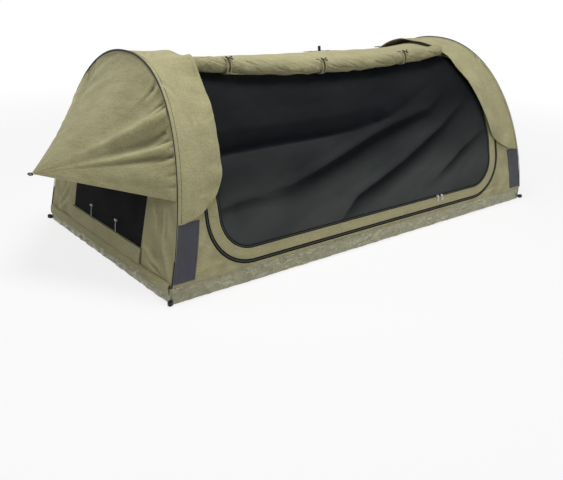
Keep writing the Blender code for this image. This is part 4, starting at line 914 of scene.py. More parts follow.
PULL_PROFILE = ((-0.05, 0), (-0.016, -0.0014), (0, 0.0034), (0.016, -0.0014), (0.05, 0))
REAR_PULLS = (
    ((-0.96, 1.98, 0.2), (-0.72, 1.80, 1), (-0.42, 1.62, 0)),
    ((0.97, 1.99, 0.2), (0.75, 1.86, 1), (0.50, 1.74, 0)),
    ((-0.86, 1.40, 0), (-0.55, 1.47, 0.8), (-0.20, 1.50, 0)),
    ((0.84, 1.42, 0), (0.52, 1.52, 0.8), (0.22, 1.60, 0)),
)


def build_rear():
    high = WHOLE_GIRTH - FOOT_GIRTH
    x, girth, edge = panel_grid(REAR_SEAM_GIRTH + SEAM_GAP, high, 190, 80)
    free = smooth_step(end_x(girth) - np.abs(x), 0, 0.16) * smooth_step(high - girth, 0, 0.14)
    drape = 0.0030 * ripple(x, girth, 0.30, 41, 2.2, 0.35) + 0.0014 * ripple(x, girth, 0.10, 42, 2.6, -0.5)
    pulls = folds_of(x, girth, REAR_PULLS, PULL_PROFILE) * smooth_step(high - girth, 0, 0.1)
    middle = skin_grid(x, girth, soften(drape * free + pulls, 3))
    piece = sheet("rear_canvas", middle, hem_thickness(edge), (x, girth), (x, edge), "canvas")
    lay_skin(piece, "rear_panel", "canvas")


# Folds in the closed mesh door, as a line of (x, girth, strength) with a profile of heights and one of painted shade
MESH_FOLD_GAIN = 1.8
MESH_FOLDS = (
    (
        ((-0.84, 0.506, 0.8), (-0.62, 0.524, 1.0), (-0.40, 0.538, 1.0), (-0.06, 0.556, 0.8), (0.09, 0.576, 0.6)),
        ((-0.10, 0), (-0.055, 0.001), (-0.006, -0.002), (0, -0.013), (0.03, -0.003), (0.085, 0.008), (0.17, 0)),
        ((-0.012, 0), (-0.002, 1), (0.012, 1), (0.05, 0.65), (0.10, 0.2), (0.15, 0)),
    ),
    (
        ((0.09, 0.576, 0.55), (0.21, 0.605, 0.5), (0.385, 0.676, 0.4), (0.52, 0.73, 0.1)),
        ((-0.06, 0), (-0.006, 0.0015), (0, -0.008), (0.02, 0.002), (0.06, 0.004), (0.12, 0)),
        ((-0.012, 0), (-0.002, 1), (0.010, 1), (0.04, 0.4), (0.08, 0)),
    ),
    (
        ((-0.62, 0.33, 0.1), (-0.49, 0.345, 0.6), (-0.337, 0.385, 0.9), (-0.167, 0.44, 1), (0.019, 0.505, 1))
        + ((0.173, 0.546, 1.0), (0.32, 0.575, 0.8), (0.432, 0.594, 0.6), (0.565, 0.66, 0.1)),
        ((-0.13, 0), (-0.07, -0.006), (-0.030, -0.011), (0.004, 0.006), (0.012, 0.008), (0.05, 0.003), (0.11, 0)),
        ((-0.10, 0), (-0.06, 0.45), (-0.02, 1), (-0.001, 1), (0.007, 0)),
    ),
    (
        ((-0.23, 0.16, 0.5), (-0.136, 0.232, 0.9), (0.007, 0.283, 1), (0.187, 0.353, 1), (0.343, 0.424, 1))
        + ((0.479, 0.483, 0.8), (0.603, 0.553, 0.5), (0.70, 0.60, 0.1)),
        ((-0.11, 0), (-0.06, -0.005), (-0.024, -0.009), (0.004, 0.005), (0.014, 0.007), (0.05, 0.002), (0.10, 0)),
        ((-0.08, 0), (-0.045, 0.4), (-0.014, 0.95), (-0.001, 1), (0.007, 0)),
    ),
    (
        ((0.34, 0.21, 0.2), (0.503, 0.292, 1), (0.614, 0.353, 1), (0.76, 0.42, 0.3)),
        ((-0.06, 0), (-0.018, -0.0045), (0.003, 0.003), (0.012, 0.004), (0.05, 0)),
        ((-0.05, 0), (-0.012, 0.7), (-0.001, 0.8), (0.006, 0)),
    ),
    (
        ((-0.83, 0.306, 0.9), (-0.758, 0.315, 1), (-0.686, 0.323, 0.8), (-0.57, 0.31, 0.1)),
        ((-0.06, 0), (-0.02, -0.004), (0.003, 0.003), (0.012, 0.004), (0.05, 0)),
        ((-0.04, 0), (-0.010, 0.45), (-0.001, 0.5), (0.006, 0)),
    ),
)


def build_mesh_door():
    half, _ = half_door_path(-SEAM_GAP, 24, 80, 24)
    reach, girth = np.abs(half[::-1, 0])[None, :], half[::-1, 1][None, :]
    x = DOOR_X + np.linspace(-1, 1, 230)[:, None] * reach
    x, girth = np.broadcast_arrays(x, girth)
    inside = np.minimum(reach - np.abs(x - DOOR_X), np.minimum(girth - DOOR_FOOT_GIRTH, DOOR_TOP_GIRTH - girth))
    folds = sum(fold(x, girth, line, profile) for line, profile, _ in MESH_FOLDS)
    # Painted shade in the mesh's folds
    dark = np.ones_like(x)
    for line, _, shades in MESH_FOLDS:
        dark = dark * (1 - 0.88 * np.clip(1.15 * fold(x, girth, line, shades), 0, 1))
    # Painted shadow of the rolled door along the top of the mesh, and painted light coming through the lower mesh
    out_of_roll_shadow = smooth_step(DOOR_TOP_GIRTH - girth + 0.018 * ripple(x, 0 * x, 0.5, 23), -0.02, 0.075)
    painted_through_light = 0.13 + 0.30 * smooth_step(0.66 - girth, 0, 0.20) + 0.60 * smooth_step(0.46 - girth, 0, 0.28)
    patchy = 1 + 0.16 * ripple(x, girth, 0.20, 24, 2.2, 0.45)
    loose = 0.0030 * ripple(x, girth, 0.26, 21, 1.8, 0.45) + 0.0009 * ripple(x, girth, 0.07, 22, 2.0, 0.5)
    drape = (soften(folds, 5) * MESH_FOLD_GAIN + loose - 0.004) * smooth_step(inside, 0, 0.07)
    middle = skin_grid(x, girth, drape)
    piece = sheet("mesh_door_net", middle, NET, (x, girth), (x, inside + PAST_HEM), "door_net")
    # The tone layer holds this painted light and shade
    add_painted_light(piece, np.clip(painted_through_light * patchy * dark * (0.12 + 0.88 * out_of_roll_shadow), 0, 1))
    lay_skin(piece, "mesh_door", "mesh", "mesh_zip_chain", "roof_canvas")


def door_band(name, node, start, stop, slot, shares, lift, thickness):
    """A strip that follows the door's outline between two offsets from the mesh's edge."""
    shares = np.asarray(shares, float)[None, :]
    x, girth = between(door_path(start)[0], door_path(stop)[0], shares)
    middle = skin_grid(x, girth, np.asarray(lift, float)[None, :])
    run = edge_run(middle).mean(1, keepdims=True)
    width = (stop - start) * shares
    cloth, hem = (x, girth), (run, np.minimum(width, stop - start - width))
    if slot == "zip":
        cloth, hem = (run, width), (run, shares)
    piece = sheet(name, middle, np.asarray(thickness, float), cloth, hem, slot, turned=True)
    lay_skin(piece, node, slot, "roof_canvas")


COIL_HALF_SHARE, COIL_RISE, SLIT_DEPTH = 0.2, 0.55, 0.0009


def build_zip(name, node, start, stop):
    shares = [0, 0.1, 0.27, 0.30, 0.34, 0.39, 0.44, 0.475, 0.49, 0.5]
    shares += [1 - share for share in shares[-2::-1]]
    lift = []
    for share in shares:
        inside = max(0.0, 1 - (abs(share - 0.5) / COIL_HALF_SHARE) ** 2)
        slit = SLIT_DEPTH if abs(share - 0.5) < 0.005 else 0
        lift.append(0.0003 + COIL * COIL_RISE * math.sqrt(inside) - slit)
    door_band(name, node, start, stop, "zip", shares, lift, TAPE)


def build_border():
    shares = [0, 0.08, 0.2, 0.24, 0.32, 0.5, 0.68, 0.76, 0.8, 0.92, 1]
    thickness = [HEM if min(share, 1 - share) < 0.21 else CLOTH for share in shares]
    lift = [0.0012 * math.sin(PI * share) for share in shares]
    door_band("door_border_canvas", "door_border", BORDER_START, BORDER_END, "canvas", shares, lift, thickness)


SIDE_PROFILE = ((-0.030, 0), (-0.010, -0.0022), (0, 0.0050), (0.010, -0.0020), (0.030, 0))
SIDE_FOLDS = (
    ((-0.99, 0.14, 0.4), (-0.94, 0.20, 1), (-0.90, 0.27, 0)),
    ((-0.98, 0.10, 0.3), (-0.88, 0.115, 1), (-0.78, 0.10, 0)),
    ((-0.94, 0.33, 0.3), (-0.93, 0.40, 0.8), (-0.95, 0.47, 0)),
    ((0.98, 0.13, 0.4), (0.93, 0.18, 1), (0.89, 0.25, 0)),
    ((0.72, 0.085, 0.2), (0.84, 0.10, 1), (0.94, 0.09, 0)),
    ((-0.42, 0.072, 0.2), (-0.33, 0.083, 0.8), (-0.22, 0.075, 0)),
    ((0.12, 0.075, 0.2), (0.25, 0.083, 0.8), (0.34, 0.074, 0)),
)


def build_side():
    """Canvas from the outer zip to the hoops and down to the tub."""
    inner, corner_start, half_count = door_path(PANEL_START)
    corner_girth = DOOR_FOOT_GIRTH + DOOR_CORNER
    outer = np.zeros_like(inner)
    count = len(inner)
    for index, (x, girth) in enumerate(inner):
        right = index > count / 2
        side = 1 if right else -1
        from_top = count - 1 - index if right else index
        turned = (from_top - corner_start) / (half_count - 1 - corner_start)
        if from_top >= half_count:
            outer[index] = (x, FOOT_GIRTH)
        elif turned > 0.5:
            run_start = inner[-half_count if right else half_count - 1][0]
            edge = side * float(end_x(FOOT_GIRTH))
            outer[index] = (edge + (run_start - edge) * (2 * turned - 1), FOOT_GIRTH)
        else:
            level = corner_girth + (FOOT_GIRTH - corner_girth) * 2 * turned if turned > 0 else girth
            outer[index] = (side * float(end_x(level)), level)
    shares = np.array([0, 0.03, 0.06, 0.09, 0.105, *np.linspace(0.14, 0.88, 17), 0.91, 0.93, 0.955, 0.98, 1])[None, :]
    x, girth = between(inner, outer, shares)
    edge = np.minimum(shares, 1 - shares) * np.hypot(*(outer - inner).T)[:, None]
    creases = soften(folds_of(x, girth, SIDE_FOLDS, SIDE_PROFILE), 2)
    drape = (creases + 0.0011 * ripple(x, girth, 0.09, 51, 1.8, 0.8)) * smooth_step(edge, 0, 0.03)
    middle = skin_grid(x, girth, drape)
    hem = (edge_run(middle)[:, :1], edge)
    piece = sheet("side_canvas", middle, hem_thickness(edge, 0.009), (x, girth), hem, "canvas", turned=True)
    # Painted shade in the hollows and painted light on the crests of the side's creases
    add_painted_light(piece, relief_shade(drape, 8, 130))
    lay_skin(piece, "front_panel", "canvas")


PATCH_HEM, PATCH_LIFT = 0.0088, 0.0022


def build_patch(end, side):
    sign = ENDS[end]
    girth = np.linspace(PATCH_FOOT_GIRTH, PATCH_TOP_GIRTH, 44)[None, :]
    if side == "far":
        girth = WHOLE_GIRTH - girth[:, ::-1]
    across = hem_steps(0, PATCH_WIDTH, (0, 0.004, 0.008, PATCH_HEM), 0.012, 9)[:, None]
    x = sign * (end_x(girth) - PATCH_EDGE_INSET - across)
    x, girth = np.broadcast_arrays(x, girth)
    ends = np.minimum(girth - girth.min(), girth.max() - girth)
    edge = np.minimum(np.minimum(across, PATCH_WIDTH - across), ends)
    wave = 0.0005 * ripple(x, girth, 0.05, 61 + sign, 2.5, 1.5) * smooth_step(edge, 0, 0.01)
    made = 0.0010 + 0.0008 * smooth_step(PATCH_HEM - edge, 0, 0.0008)
    name = f"corner_patch_cloth_{end}_{side}"
    middle = skin_grid(x, girth, PATCH_LIFT + wave)
    piece = sheet(name, middle, made, (x, girth), (girth, edge), "patch", turned=sign > 0)
    lay_skin(piece, f"corner_patch_{end}_{side}", "patch", "side_canvas" if side == "near" else "rear_canvas")


# End walls, windows and covers
WALL_CLEARANCE = 0.0035
WALL_PROFILE = ((-0.032, 0), (-0.010, -0.0012), (0, 0.0085), (0.009, -0.0012), (0.032, 0))
WALL_FOLDS = (
    ((-0.325, 0.150, 0.3), (-0.42, 0.118, 1), (-0.51, 0.085, 0.3)),
    ((-0.35, 0.105, 0.2), (-0.43, 0.088, 0.8), (-0.50, 0.070, 0)),
    ((-0.44, 0.315, 0.9), (-0.445, 0.24, 0.8), (-0.48, 0.15, 0)),
    ((-0.36, 0.30, 0.8), (-0.39, 0.26, 0.6), (-0.40, 0.19, 0)),
    ((0.37, 0.150, 0.8), (0.43, 0.105, 1), (0.47, 0.072, 0.3)),
    ((0.37, 0.235, 0.9), (0.42, 0.16, 1), (0.48, 0.110, 0.2)),
    ((0.36, 0.33, 0.5), (0.41, 0.26, 0.8), (0.46, 0.20, 0)),
)


def window_outline(side=26, crown=26, foot=64):
    """(y, z) round the window from its near foot over the top, closed along its foot."""
    half, radius = WINDOW_WIDTH / 2, WINDOW_CROWN_CORNER
    top = WINDOW_TOP - radius
    rise = np.linspace(WINDOW_FOOT, top, side + 1)[:-1]
    turns, other = np.linspace(PI, PI / 2, crown + 1), np.linspace(PI / 2, 0, crown + 1)
    y = [0 * rise - half, radius - half + radius * np.cos(turns), half - radius + radius * np.cos(other)]
    z = [rise, top + radius * np.sin(turns), top + radius * np.sin(other)]
    y += [half + 0 * rise, np.linspace(half, -half, foot + 1)[1:-1]]
    z += [np.append(rise, top)[::-1][1:], np.full(foot - 1, WINDOW_FOOT)]
    return pair(np.concatenate(y), np.concatenate(z)), foot


def build_wall(end):
    inside, foot = window_outline()
    low = TUB_HEIGHT + HINGE_GAP
    start = float(direction_at(girth_at_height(low)))
    across, up = section(np.linspace(start, PI - start, len(inside) - foot + 1), HOOP_POWER)
    narrow = 1 - WALL_CLEARANCE / HALF_WIDTH * (1 - smooth_step(up * HOOP_HEIGHT, CUT_HEIGHT, 1.4 * CUT_HEIGHT))
    grown = MODEL_CANVAS / 2
    arch = pair(across * narrow * (HALF_WIDTH + grown), np.maximum(up * (HOOP_HEIGHT + grown), low))
    run = np.linspace(arch[-1, 0], -arch[-1, 0], foot + 1)[1:-1]
    outside = np.concatenate([arch, pair(run, low)])
    shares = np.array([0, 0.03, 0.06, 0.075, *np.linspace(0.11, 0.90, 16), 0.93, 0.955, 0.98, 1])[None, :]
    y, z = between(inside, outside, shares)
    edge = np.minimum(shares, 1 - shares) * np.hypot(*(outside - inside).T)[:, None]
    soft = 0.0024 * ripple(y, z, 0.10, 71 + ENDS[end], 2.2, 1.1)
    creases = folds_of(-ENDS[end] * y, z, WALL_FOLDS, WALL_PROFILE)
    bulge = np.maximum((creases + soft) * smooth_step(edge, 0, 0.02), -0.0012)
    middle = end_place(end, y, z, grown - bulge)
    along = np.cumsum(np.r_[0, np.hypot(*np.diff(inside, axis=0).T)])[:, None]
    piece = sheet(
        f"{end}_wall_canvas", middle, hem_thickness(edge, 0.010), (y, z / math.cos(LEAN_ANGLE)), (along, edge), "wall",
        turned=end == "foot", ring_rows=True,
    )
    # Painted shade in the hollows and painted light on the crests of the wall's creases
    add_painted_light(piece, relief_shade(bulge, 10, 110))
    give(piece, f"{end}_hoop", "canvas_shade", f"{end}_wall")
    declare(piece, "stretched", f"{end}_pole_middle")


def build_net(end):
    half, radius = WINDOW_WIDTH / 2 - SEAM_GAP, WINDOW_CROWN_CORNER - SEAM_GAP
    top = WINDOW_TOP - radius
    crown = top + (radius - SEAM_GAP) * np.sin(np.linspace(0, 1, 24)[1:] * PI / 2)
    z = np.concatenate([np.linspace(WINDOW_FOOT + SEAM_GAP, top, 30), crown])
    drop = np.maximum(z - top, 0)
    width = (half - radius + np.sqrt(np.maximum(radius**2 - drop**2, 0)))[None, :]
    y, z = np.broadcast_arrays(np.linspace(-1, 1, 60)[:, None] * width, z[None, :])
    inside = np.minimum(width - np.abs(y), np.minimum(z - WINDOW_FOOT, WINDOW_TOP - z))
    loose = (0.003 + 0.0025 * ripple(y, z, 0.22, 81 + ENDS[end], 1.5, 0.6)) * smooth_step(inside, 0, 0.09)
    middle = end_place(end, y, z, MODEL_CANVAS / 2 + np.maximum(loose, -0.001))
    cloth = (y, z / math.cos(LEAN_ANGLE))
    piece = sheet(f"{end}_window_net", middle, NET, cloth, (y, inside + PAST_HEM), "net", turned=end == "head")
    give(piece, f"{end}_hoop", "mesh", f"{end}_window_mesh")
    declare(piece, "stretched", f"{end}_wall_canvas")


PLEATS, COVER_GAP, COVER_EDGE = 7, 0.0014, 0.0012


def build_cover(end):
    """The window's canvas cover, let down and folded in pleats below the window."""
    pitch = (COVER_THICKNESS - 0.0016) / PLEATS
    top, foot = WINDOW_FOOT - SEAM_GAP - COVER_EDGE, COVER_FOOT + COVER_EDGE
    depth, height = [], []
    for run in range(PLEATS):
        levels = np.linspace(foot, top, 10)[:: -1 if run % 2 else 1]
        depth += [COVER_GAP + pitch * (run + 0.5)] * len(levels)
        height += levels.tolist()
        if run < PLEATS - 1:
            sign = -1 if run % 2 else 1
            for turn in np.linspace(0, PI, 6)[1:-1]:
                depth.append(COVER_GAP + pitch * (run + 1) - pitch / 2 * math.cos(turn))
                height.append(levels[-1] + sign * pitch / 2 * math.sin(turn))
    depth, height = np.array(depth)[None, :], np.array(height)[None, :]
    half = WINDOW_WIDTH / 2 + COVER_OVERHANG - 0.001
    y = np.linspace(-half, half, 90)[:, None]
    wave = 0.0006 * ripple(y, height, 0.08, 91 + ENDS[end], 1.0) * smooth_step(depth, 0.003, COVER_THICKNESS)
    middle = end_place(end, y, height + 0.0010 * ripple(y, 0 * y, 0.16, 93, 1.0) * 0.6, -depth - wave)
    length = np.concatenate([[0], np.cumsum(np.hypot(np.diff(depth[0]), np.diff(height[0])))])[None, :]
    hem = (length, np.minimum(half - np.abs(y), length.max() - length))
    piece = sheet(f"{end}_cover_canvas", middle, pitch * 0.72, (y, length), hem, "wall", turned=end == "foot")
    give(piece, f"{end}_hoop", "canvas_shade", f"{end}_window_cover")
    declare(piece, "folded", f"{end}_wall_canvas")


SKIRT_FOOT, SKIRT_FOLD, SKIRT_TOP = 0.037, TUB_HEIGHT + 0.0095, TUB_HEIGHT + 0.0140
SKIRT_INSET, SKIRT_OUT, SKIRT_TUCK, SKIRT_LAP, SKIRT_HUMP = 0.010, 0.0042, 0.0022, 0.0009, 0.0016


def build_skirt(end):
    """The end wall's foot, sewn down over the outside of the groundsheet and lying against the wall above it."""
    sign = ENDS[end]
    half = HALF_WIDTH - SKIRT_INSET
    y = np.linspace(-half, half, 150)[:, None]
    wave = 0.0035 * ripple(y, 0 * y, 0.11, 101 + sign)
    shares = np.array([0, 0.12, 0.25, 0.30, 0.45, 0.6, 0.8, 1.0])[None, :]
    z = (SKIRT_FOOT + wave) * (1 - shares) + SKIRT_FOLD * shares
    puff = 0.0012 * ripple(y, z, 0.05, 103 + sign, 1.4) * np.sin(PI * shares)
    x = sign * (HALF_LENGTH + SKIRT_OUT + np.maximum(puff, -0.0008) - SKIRT_TUCK * smooth_step(shares, 0.6, 1.0))
    middle = np.stack(np.broadcast_arrays(x, y, z), -1)
    lap = end_place(end, y, SKIRT_TOP + 0 * y, -SKIRT_LAP + 0 * y)
    turn = np.array([0.2, 0.4, 0.6, 0.8, 1.0])[None, :, None]
    hump = np.array([0, 0, SKIRT_HUMP])[None, None, :] * np.sin(PI * turn)
    middle = np.concatenate([middle, middle[:, -1:] * (1 - turn) + lap * turn + hump], 1)
    level = np.concatenate([z, z[:, -1:] + 0.004 * np.arange(1, 6)[None, :]], 1)
    thin = 0.0014 - 0.0009 * smooth_step(level, TUB_HEIGHT, TUB_HEIGHT + 0.02)
    hem = (y, level - (SKIRT_FOOT + wave))
    piece = sheet(f"{end}_wall_skirt", middle, thin, (y, level), hem, "wall", turned=sign < 0)
    give(piece, "ground", "canvas_shade")
    declare(piece, "stretched", "groundsheet_tub")


# Hoods, visors and the piping between them
HOOD_PROFILE = ((-0.026, 0), (-0.008, -0.0026), (0, 0.0052), (0.008, -0.0026), (0.026, 0))
HOOD_FOLDS = (
    ((-0.955, 0.83, 0.2), (-0.930, 0.79, 1), (-0.915, 0.735, 0.1)),
    ((-0.945, 0.80, 0.2), (-0.915, 0.77, 0.7), (-0.905, 0.72, 0.1)),
    ((-0.835, 0.62, 0.2), (-0.800, 0.645, 0.9), (-0.772, 0.668, 0.1)),
    ((-0.885, 0.675, 0.2), (-0.870, 0.64, 0.6), (-0.880, 0.60, 0.1)),
    ((-0.945, 0.375, 0.2), (-0.92, 0.366, 0.8), (-0.885, 0.365, 0.1)),
    ((-0.90, 0.98, 0.1), (-0.86, 1.02, 0.7), (-0.84, 1.08, 0.1)),
    ((-0.93, 1.45, 0.1), (-0.90, 1.50, 0.8), (-0.89, 1.56, 0.1)),
    ((-0.88, 1.70, 0.1), (-0.85, 1.74, 0.7), (-0.86, 1.79, 0.1)),
)


def hood_bulge(girth):
    """Share of the way that the hood's edge is raised, next to the rolled door's end."""
    return bell(girth, RIDGE_GIRTH - HOOD_BULGE_TO_RIDGE, HOOD_BULGE_WIDTH)


def hood_width(end, girth):
    up = from_floor(girth) - HOOD_FOOT_GIRTH
    extra = HOOD_CROWN_WIDTH[end] - HOOD_WIDTH[end]
    crown = HOOD_WIDTH[end] + extra * np.sin(direction_at(girth)) ** HOOD_CROWN_POWER
    crown = crown - HOOD_BULGE_DRAW[end] * hood_bulge(girth)
    inside = 1 - np.clip(up, 0, HOOD_CORNER) / HOOD_CORNER
    corner = HOOD_WIDTH[end] * np.maximum(HOOD_FOOT_SHARE, np.sqrt(np.maximum(1 - inside**2, 0)))
    return np.where(up >= HOOD_CORNER, crown, corner)


def hood_lift(end, girth, share):
    edge = HOOD_EDGE_LIFT[end] * hood_width(end, girth) / HOOD_WIDTH[end]
    return HOOD_ROOT_LIFT + (edge + HOOD_BULGE[end] * hood_bulge(girth)) * share**HOOD_LIFT_POWER


def build_hood(end):
    sign = ENDS[end]
    corner = HOOD_FOOT_GIRTH + HOOD_CORNER * (1 - np.cos(np.linspace(0, PI / 2, 22)))
    crown = np.linspace(corner[-1], WHOLE_GIRTH - corner[-1], 120)[1:-1]
    girth = np.concatenate([corner, crown, WHOLE_GIRTH - corner[::-1]])[None, :]
    shares = np.array([*np.linspace(0, 0.90, 30), 0.921, 0.9285, 0.936, 0.955, 0.978, 0.992, 1])[:, None]
    width = hood_width(end, girth)
    lift = hood_lift(end, girth, shares)
    x = sign * (end_x(girth) + MODEL_CANVAS + SEAM_GAP - shares * width)
    x, girth = np.broadcast_arrays(x, girth)
    from_foot = from_floor(girth) - HOOD_FOOT_GIRTH
    waves = 0.0050 * ripple(x, girth, 0.26, 111 + sign, 1.0) + 0.0022 * ripple(x, girth, 0.09, 113 + sign, 1.5, 1.2)
    waves = waves * (1 - 0.8 * hood_bulge(girth)) * shares**1.3 * (0.4 + 0.6 * smooth_step(from_foot, 0, 0.05))
    creases = soften(folds_of(-sign * x, girth, HOOD_FOLDS, HOOD_PROFILE), 2) * smooth_step(shares, 0, 0.12)
    relief = np.maximum(waves + creases, -0.6 * lift)
    middle = skin(x, girth, lift + relief)
    to_edge = (1 - shares) * width
    hem = (girth, np.minimum(np.minimum(to_edge, from_foot + 0.004), shares * width + 0.001))
    thickness = hem_thickness(to_edge)
    piece = sheet(f"{end}_hood_canvas", middle, thickness, (x, girth), hem, "canvas", turned=end == "head")
    # Painted shade in the hollows and painted light on the crests of the hood's folds
    add_painted_light(piece, relief_shade(relief, 10, 110))
    hang_on_hoop(piece, end, "canvas", f"{end}_hood")
    declare(piece, "stretched", f"{end}_pole_middle")


# Folds that run from the hoop to the tip as (girth, width, height), and gathers as (girth, width, reach, height)
VISOR_FOLD_GAIN, VISOR_PUCKER_GAIN = 1.6, 2.4
VISOR_FOLDS = {
    "near": (
        (0.768, 0.040, -0.0050), (0.682, 0.030, 0.0110), (0.600, 0.030, -0.0115), (0.553, 0.018, 0.0050),
        (0.520, 0.017, -0.0050), (0.45, 0.035, 0.0030), (0.93, 0.06, 0.0030),
    ),
    "far": (
        (0.80, 0.045, -0.0050), (0.71, 0.032, 0.0090), (0.63, 0.030, -0.0090), (0.56, 0.022, 0.0050),
        (0.50, 0.020, -0.0050), (0.43, 0.030, 0.0030),
    ),
}
VISOR_PUCKERS = {
    "near": (
        (0.812, 0.0075, 0.100, -0.0052), (0.788, 0.0080, 0.060, 0.0024), (0.722, 0.0090, 0.085, -0.0050),
        (0.700, 0.0060, 0.065, -0.0050), (0.672, 0.0070, 0.050, 0.0026), (0.622, 0.0060, 0.090, -0.0050),
        (0.600, 0.0060, 0.050, 0.0022), (0.582, 0.0065, 0.100, -0.0042), (0.552, 0.0050, 0.040, -0.0026),
        (0.519, 0.0055, 0.085, -0.0046), (0.490, 0.0050, 0.035, -0.0024), (0.455, 0.0050, 0.045, -0.0026),
        (0.415, 0.0050, 0.040, -0.0022),
    ),
    "far": (
        (0.84, 0.0075, 0.090, -0.0046), (0.775, 0.0080, 0.070, -0.0050), (0.70, 0.0065, 0.080, -0.0046),
        (0.645, 0.0060, 0.060, -0.0044), (0.59, 0.0060, 0.090, -0.0042), (0.53, 0.0055, 0.060, -0.0036),
        (0.47, 0.0050, 0.050, -0.0026), (0.42, 0.0050, 0.040, -0.0022),
    ),
}


def visor_tip(end):
    return np.array((ENDS[end] * (HALF_LENGTH + VISOR_REACH), 0, VISOR_TIP_HEIGHT))


def build_visor(end):
    tip = visor_tip(end)
    first, last = VISOR_ROOT_GIRTH, WHOLE_GIRTH - VISOR_ROOT_GIRTH
    girth = hem_steps(first, last, (0, 0.004, 0.010, 0.016, 0.0175), 0.026, 190)
    root = end_place(end, *hoop_curve(direction_at(girth)), -VISOR_ROOT_GAP)
    hang = np.sin(PI * (girth - first) / (last - first))
    share = np.concatenate([np.linspace(0, 0.12, 14)[:-1], np.linspace(0.12, VISOR_TIP_SHARE, 62)])[:, None, None]
    hollow = np.sin(PI * share**VISOR_HOLLOW_POWER) * VISOR_HOLLOW * hang[None, :, None]
    base = root[None] * (1 - share) + tip * share - hollow * np.array((ENDS[end], 0, 1))
    t, g = np.broadcast_arrays(share[..., 0], girth[None, :])
    relief = np.zeros(g.shape)
    for side in SIDES:
        place = WHOLE_GIRTH - g if side == "far" else g
        fade = (1 - 0.97 * smooth_step(t, 0.05, 0.78)) * smooth_step(t, -0.10, 0.16)
        for at, width, height in VISOR_FOLDS[side]:
            relief += VISOR_FOLD_GAIN * height * bell(place, at, width) * fade
        for at, width, reach, height in VISOR_PUCKERS[side]:
            gather = bell(place, at - 0.10 * t, width) * np.exp(-((t / reach) ** 1.5))
            relief += VISOR_PUCKER_GAIN * height * gather
    soft = 0.0016 * ripple(g * (1 - 0.7 * t), t, 0.17, 121 + ENDS[end], 1.3, 1.2) * (1 - 0.8 * t)
    relief = (relief + soft) * smooth_step(t, -0.012, 0.02) * (1 - smooth_step(t, 0.93, 1.0))
    turned = end == "foot"
    middle = base + grid_normals(base, turned) * relief[..., None]
    rays = unit(root - tip)
    opening = np.concatenate([[0], np.cumsum(np.arccos(np.clip((rays[1:] * rays[:-1]).sum(-1), -1, 1)))])[None, :]
    radius = np.linalg.norm(base - tip, axis=-1)
    cloth = (radius * np.cos(opening), radius * np.sin(opening))
    edge = radius * np.minimum(opening, opening[0, -1] - opening)
    thickness = hem_thickness(edge, 0.017)
    piece = sheet(f"{end}_visor_canvas", middle, thickness, cloth, (radius, edge), "canvas", turned=turned)
    # Painted shade in the hollows and painted light on the crests of the visor's folds and gathers
    add_painted_light(piece, relief_shade(relief - soft, 10, 170))
    hang_on_hoop(piece, end, "canvas", f"{end}_visor")
    declare(piece, "hung", f"{end}_pole_middle")


SEAM_BAND, STITCHING_RADIUS, LOW_PIPING_RADIUS = 0.0105, 0.0009, 0.0028


def build_piping(end):
    """The bound edge of the seam over the hoop, between the hood and the visor, and the stitching beside it."""
    low, cut = girth_at_height(TUB_HEIGHT + 0.006), girth_at_height(CUT_HEIGHT)
    girth = np.linspace(cut, WHOLE_GIRTH - cut, 240)
    crown = np.clip(np.sin(direction_at(girth)), 0, 1) ** 3
    path = hoop_place(end, girth, -0.0016, 0.0024 + 0.0026 * crown)
    hang_on_hoop(tube(f"{end}_seam_piping", path, 0.0012 + 0.0024 * crown, 10, "binding"), end, "webbing")
    far = (WHOLE_GIRTH - cut + SEAM_GAP, WHOLE_GIRTH - low)
    for side, run in (("near", (low, cut - SEAM_GAP)), ("far", far)):
        path = hoop_place(end, np.linspace(*run, 24), -0.0012)
        give(tube(f"{end}_seam_piping_{side}", path, LOW_PIPING_RADIUS, 10, "binding"), "ground", "webbing")
    girth = np.linspace(PATCH_TOP_GIRTH, WHOLE_GIRTH - PATCH_TOP_GIRTH, 220)
    lift = hood_lift(end, girth, SEAM_BAND / hood_width(end, girth)) + 0.0006
    path = skin(ENDS[end] * (end_x(girth) - SEAM_BAND), girth, lift)
    hang_on_hoop(tube(f"{end}_seam_stitching", path, STITCHING_RADIUS, 8, "binding"), end, "webbing")


def build_tip_loop(end):
    visor_length = HALF_LENGTH + VISOR_REACH - float(hoop_reach(VISOR_TIP_HEIGHT / HOOP_HEIGHT))
    start = TIP_LOOP_LENGTH / 2 + 2 * SEAM_GAP - (1 - VISOR_TIP_SHARE) * visor_length
    outline = stadium(TIP_LOOP_LENGTH - LOOP_EASE, TIP_LOOP_DEPTH - LOOP_EASE)
    path = visor_tip(end) + np.stack([ENDS[end] * (start + outline[:, 0]), 0 * outline[:, 0], outline[:, 1]], -1)
    piece = strap(f"{end}_tip_loop_web", path, (0, 1, 0), TIP_LOOP_WIDTH, "webbing", closed=True)
    hang_on_hoop(piece, end, "webbing", f"{end}_visor_loop")


# Rolled door with its ties
ROLL_TURNS, ROLL_OUTER_TURN, ROLL_START_DEG, ROLL_TURN_PITCH = 5.0, 1.3, 200, 0.0050
TIE_OFFSET, TIE_WIDTH, TIE_WEB = 0.0072, 0.0090, 0.0016
ROLL_WRINKLES = ((3, -36.0, 136, 0.0034), (4, -52.0, 137, 0.0026), (2, -20.0, 138, 0.0030))


def crest(x, y):
    """Height of the taut skin near the ridge."""
    power = HOOP_POWER + (MIDDLE_POWER - HOOP_POWER) * slack(x, 1)
    up = (1 - (abs(y) / HALF_WIDTH) ** power) ** (1 / power)
    return up * HOOP_HEIGHT - RIDGE_SAG * slack(x, up, SAG_SPREAD) * up**SAG_POWER


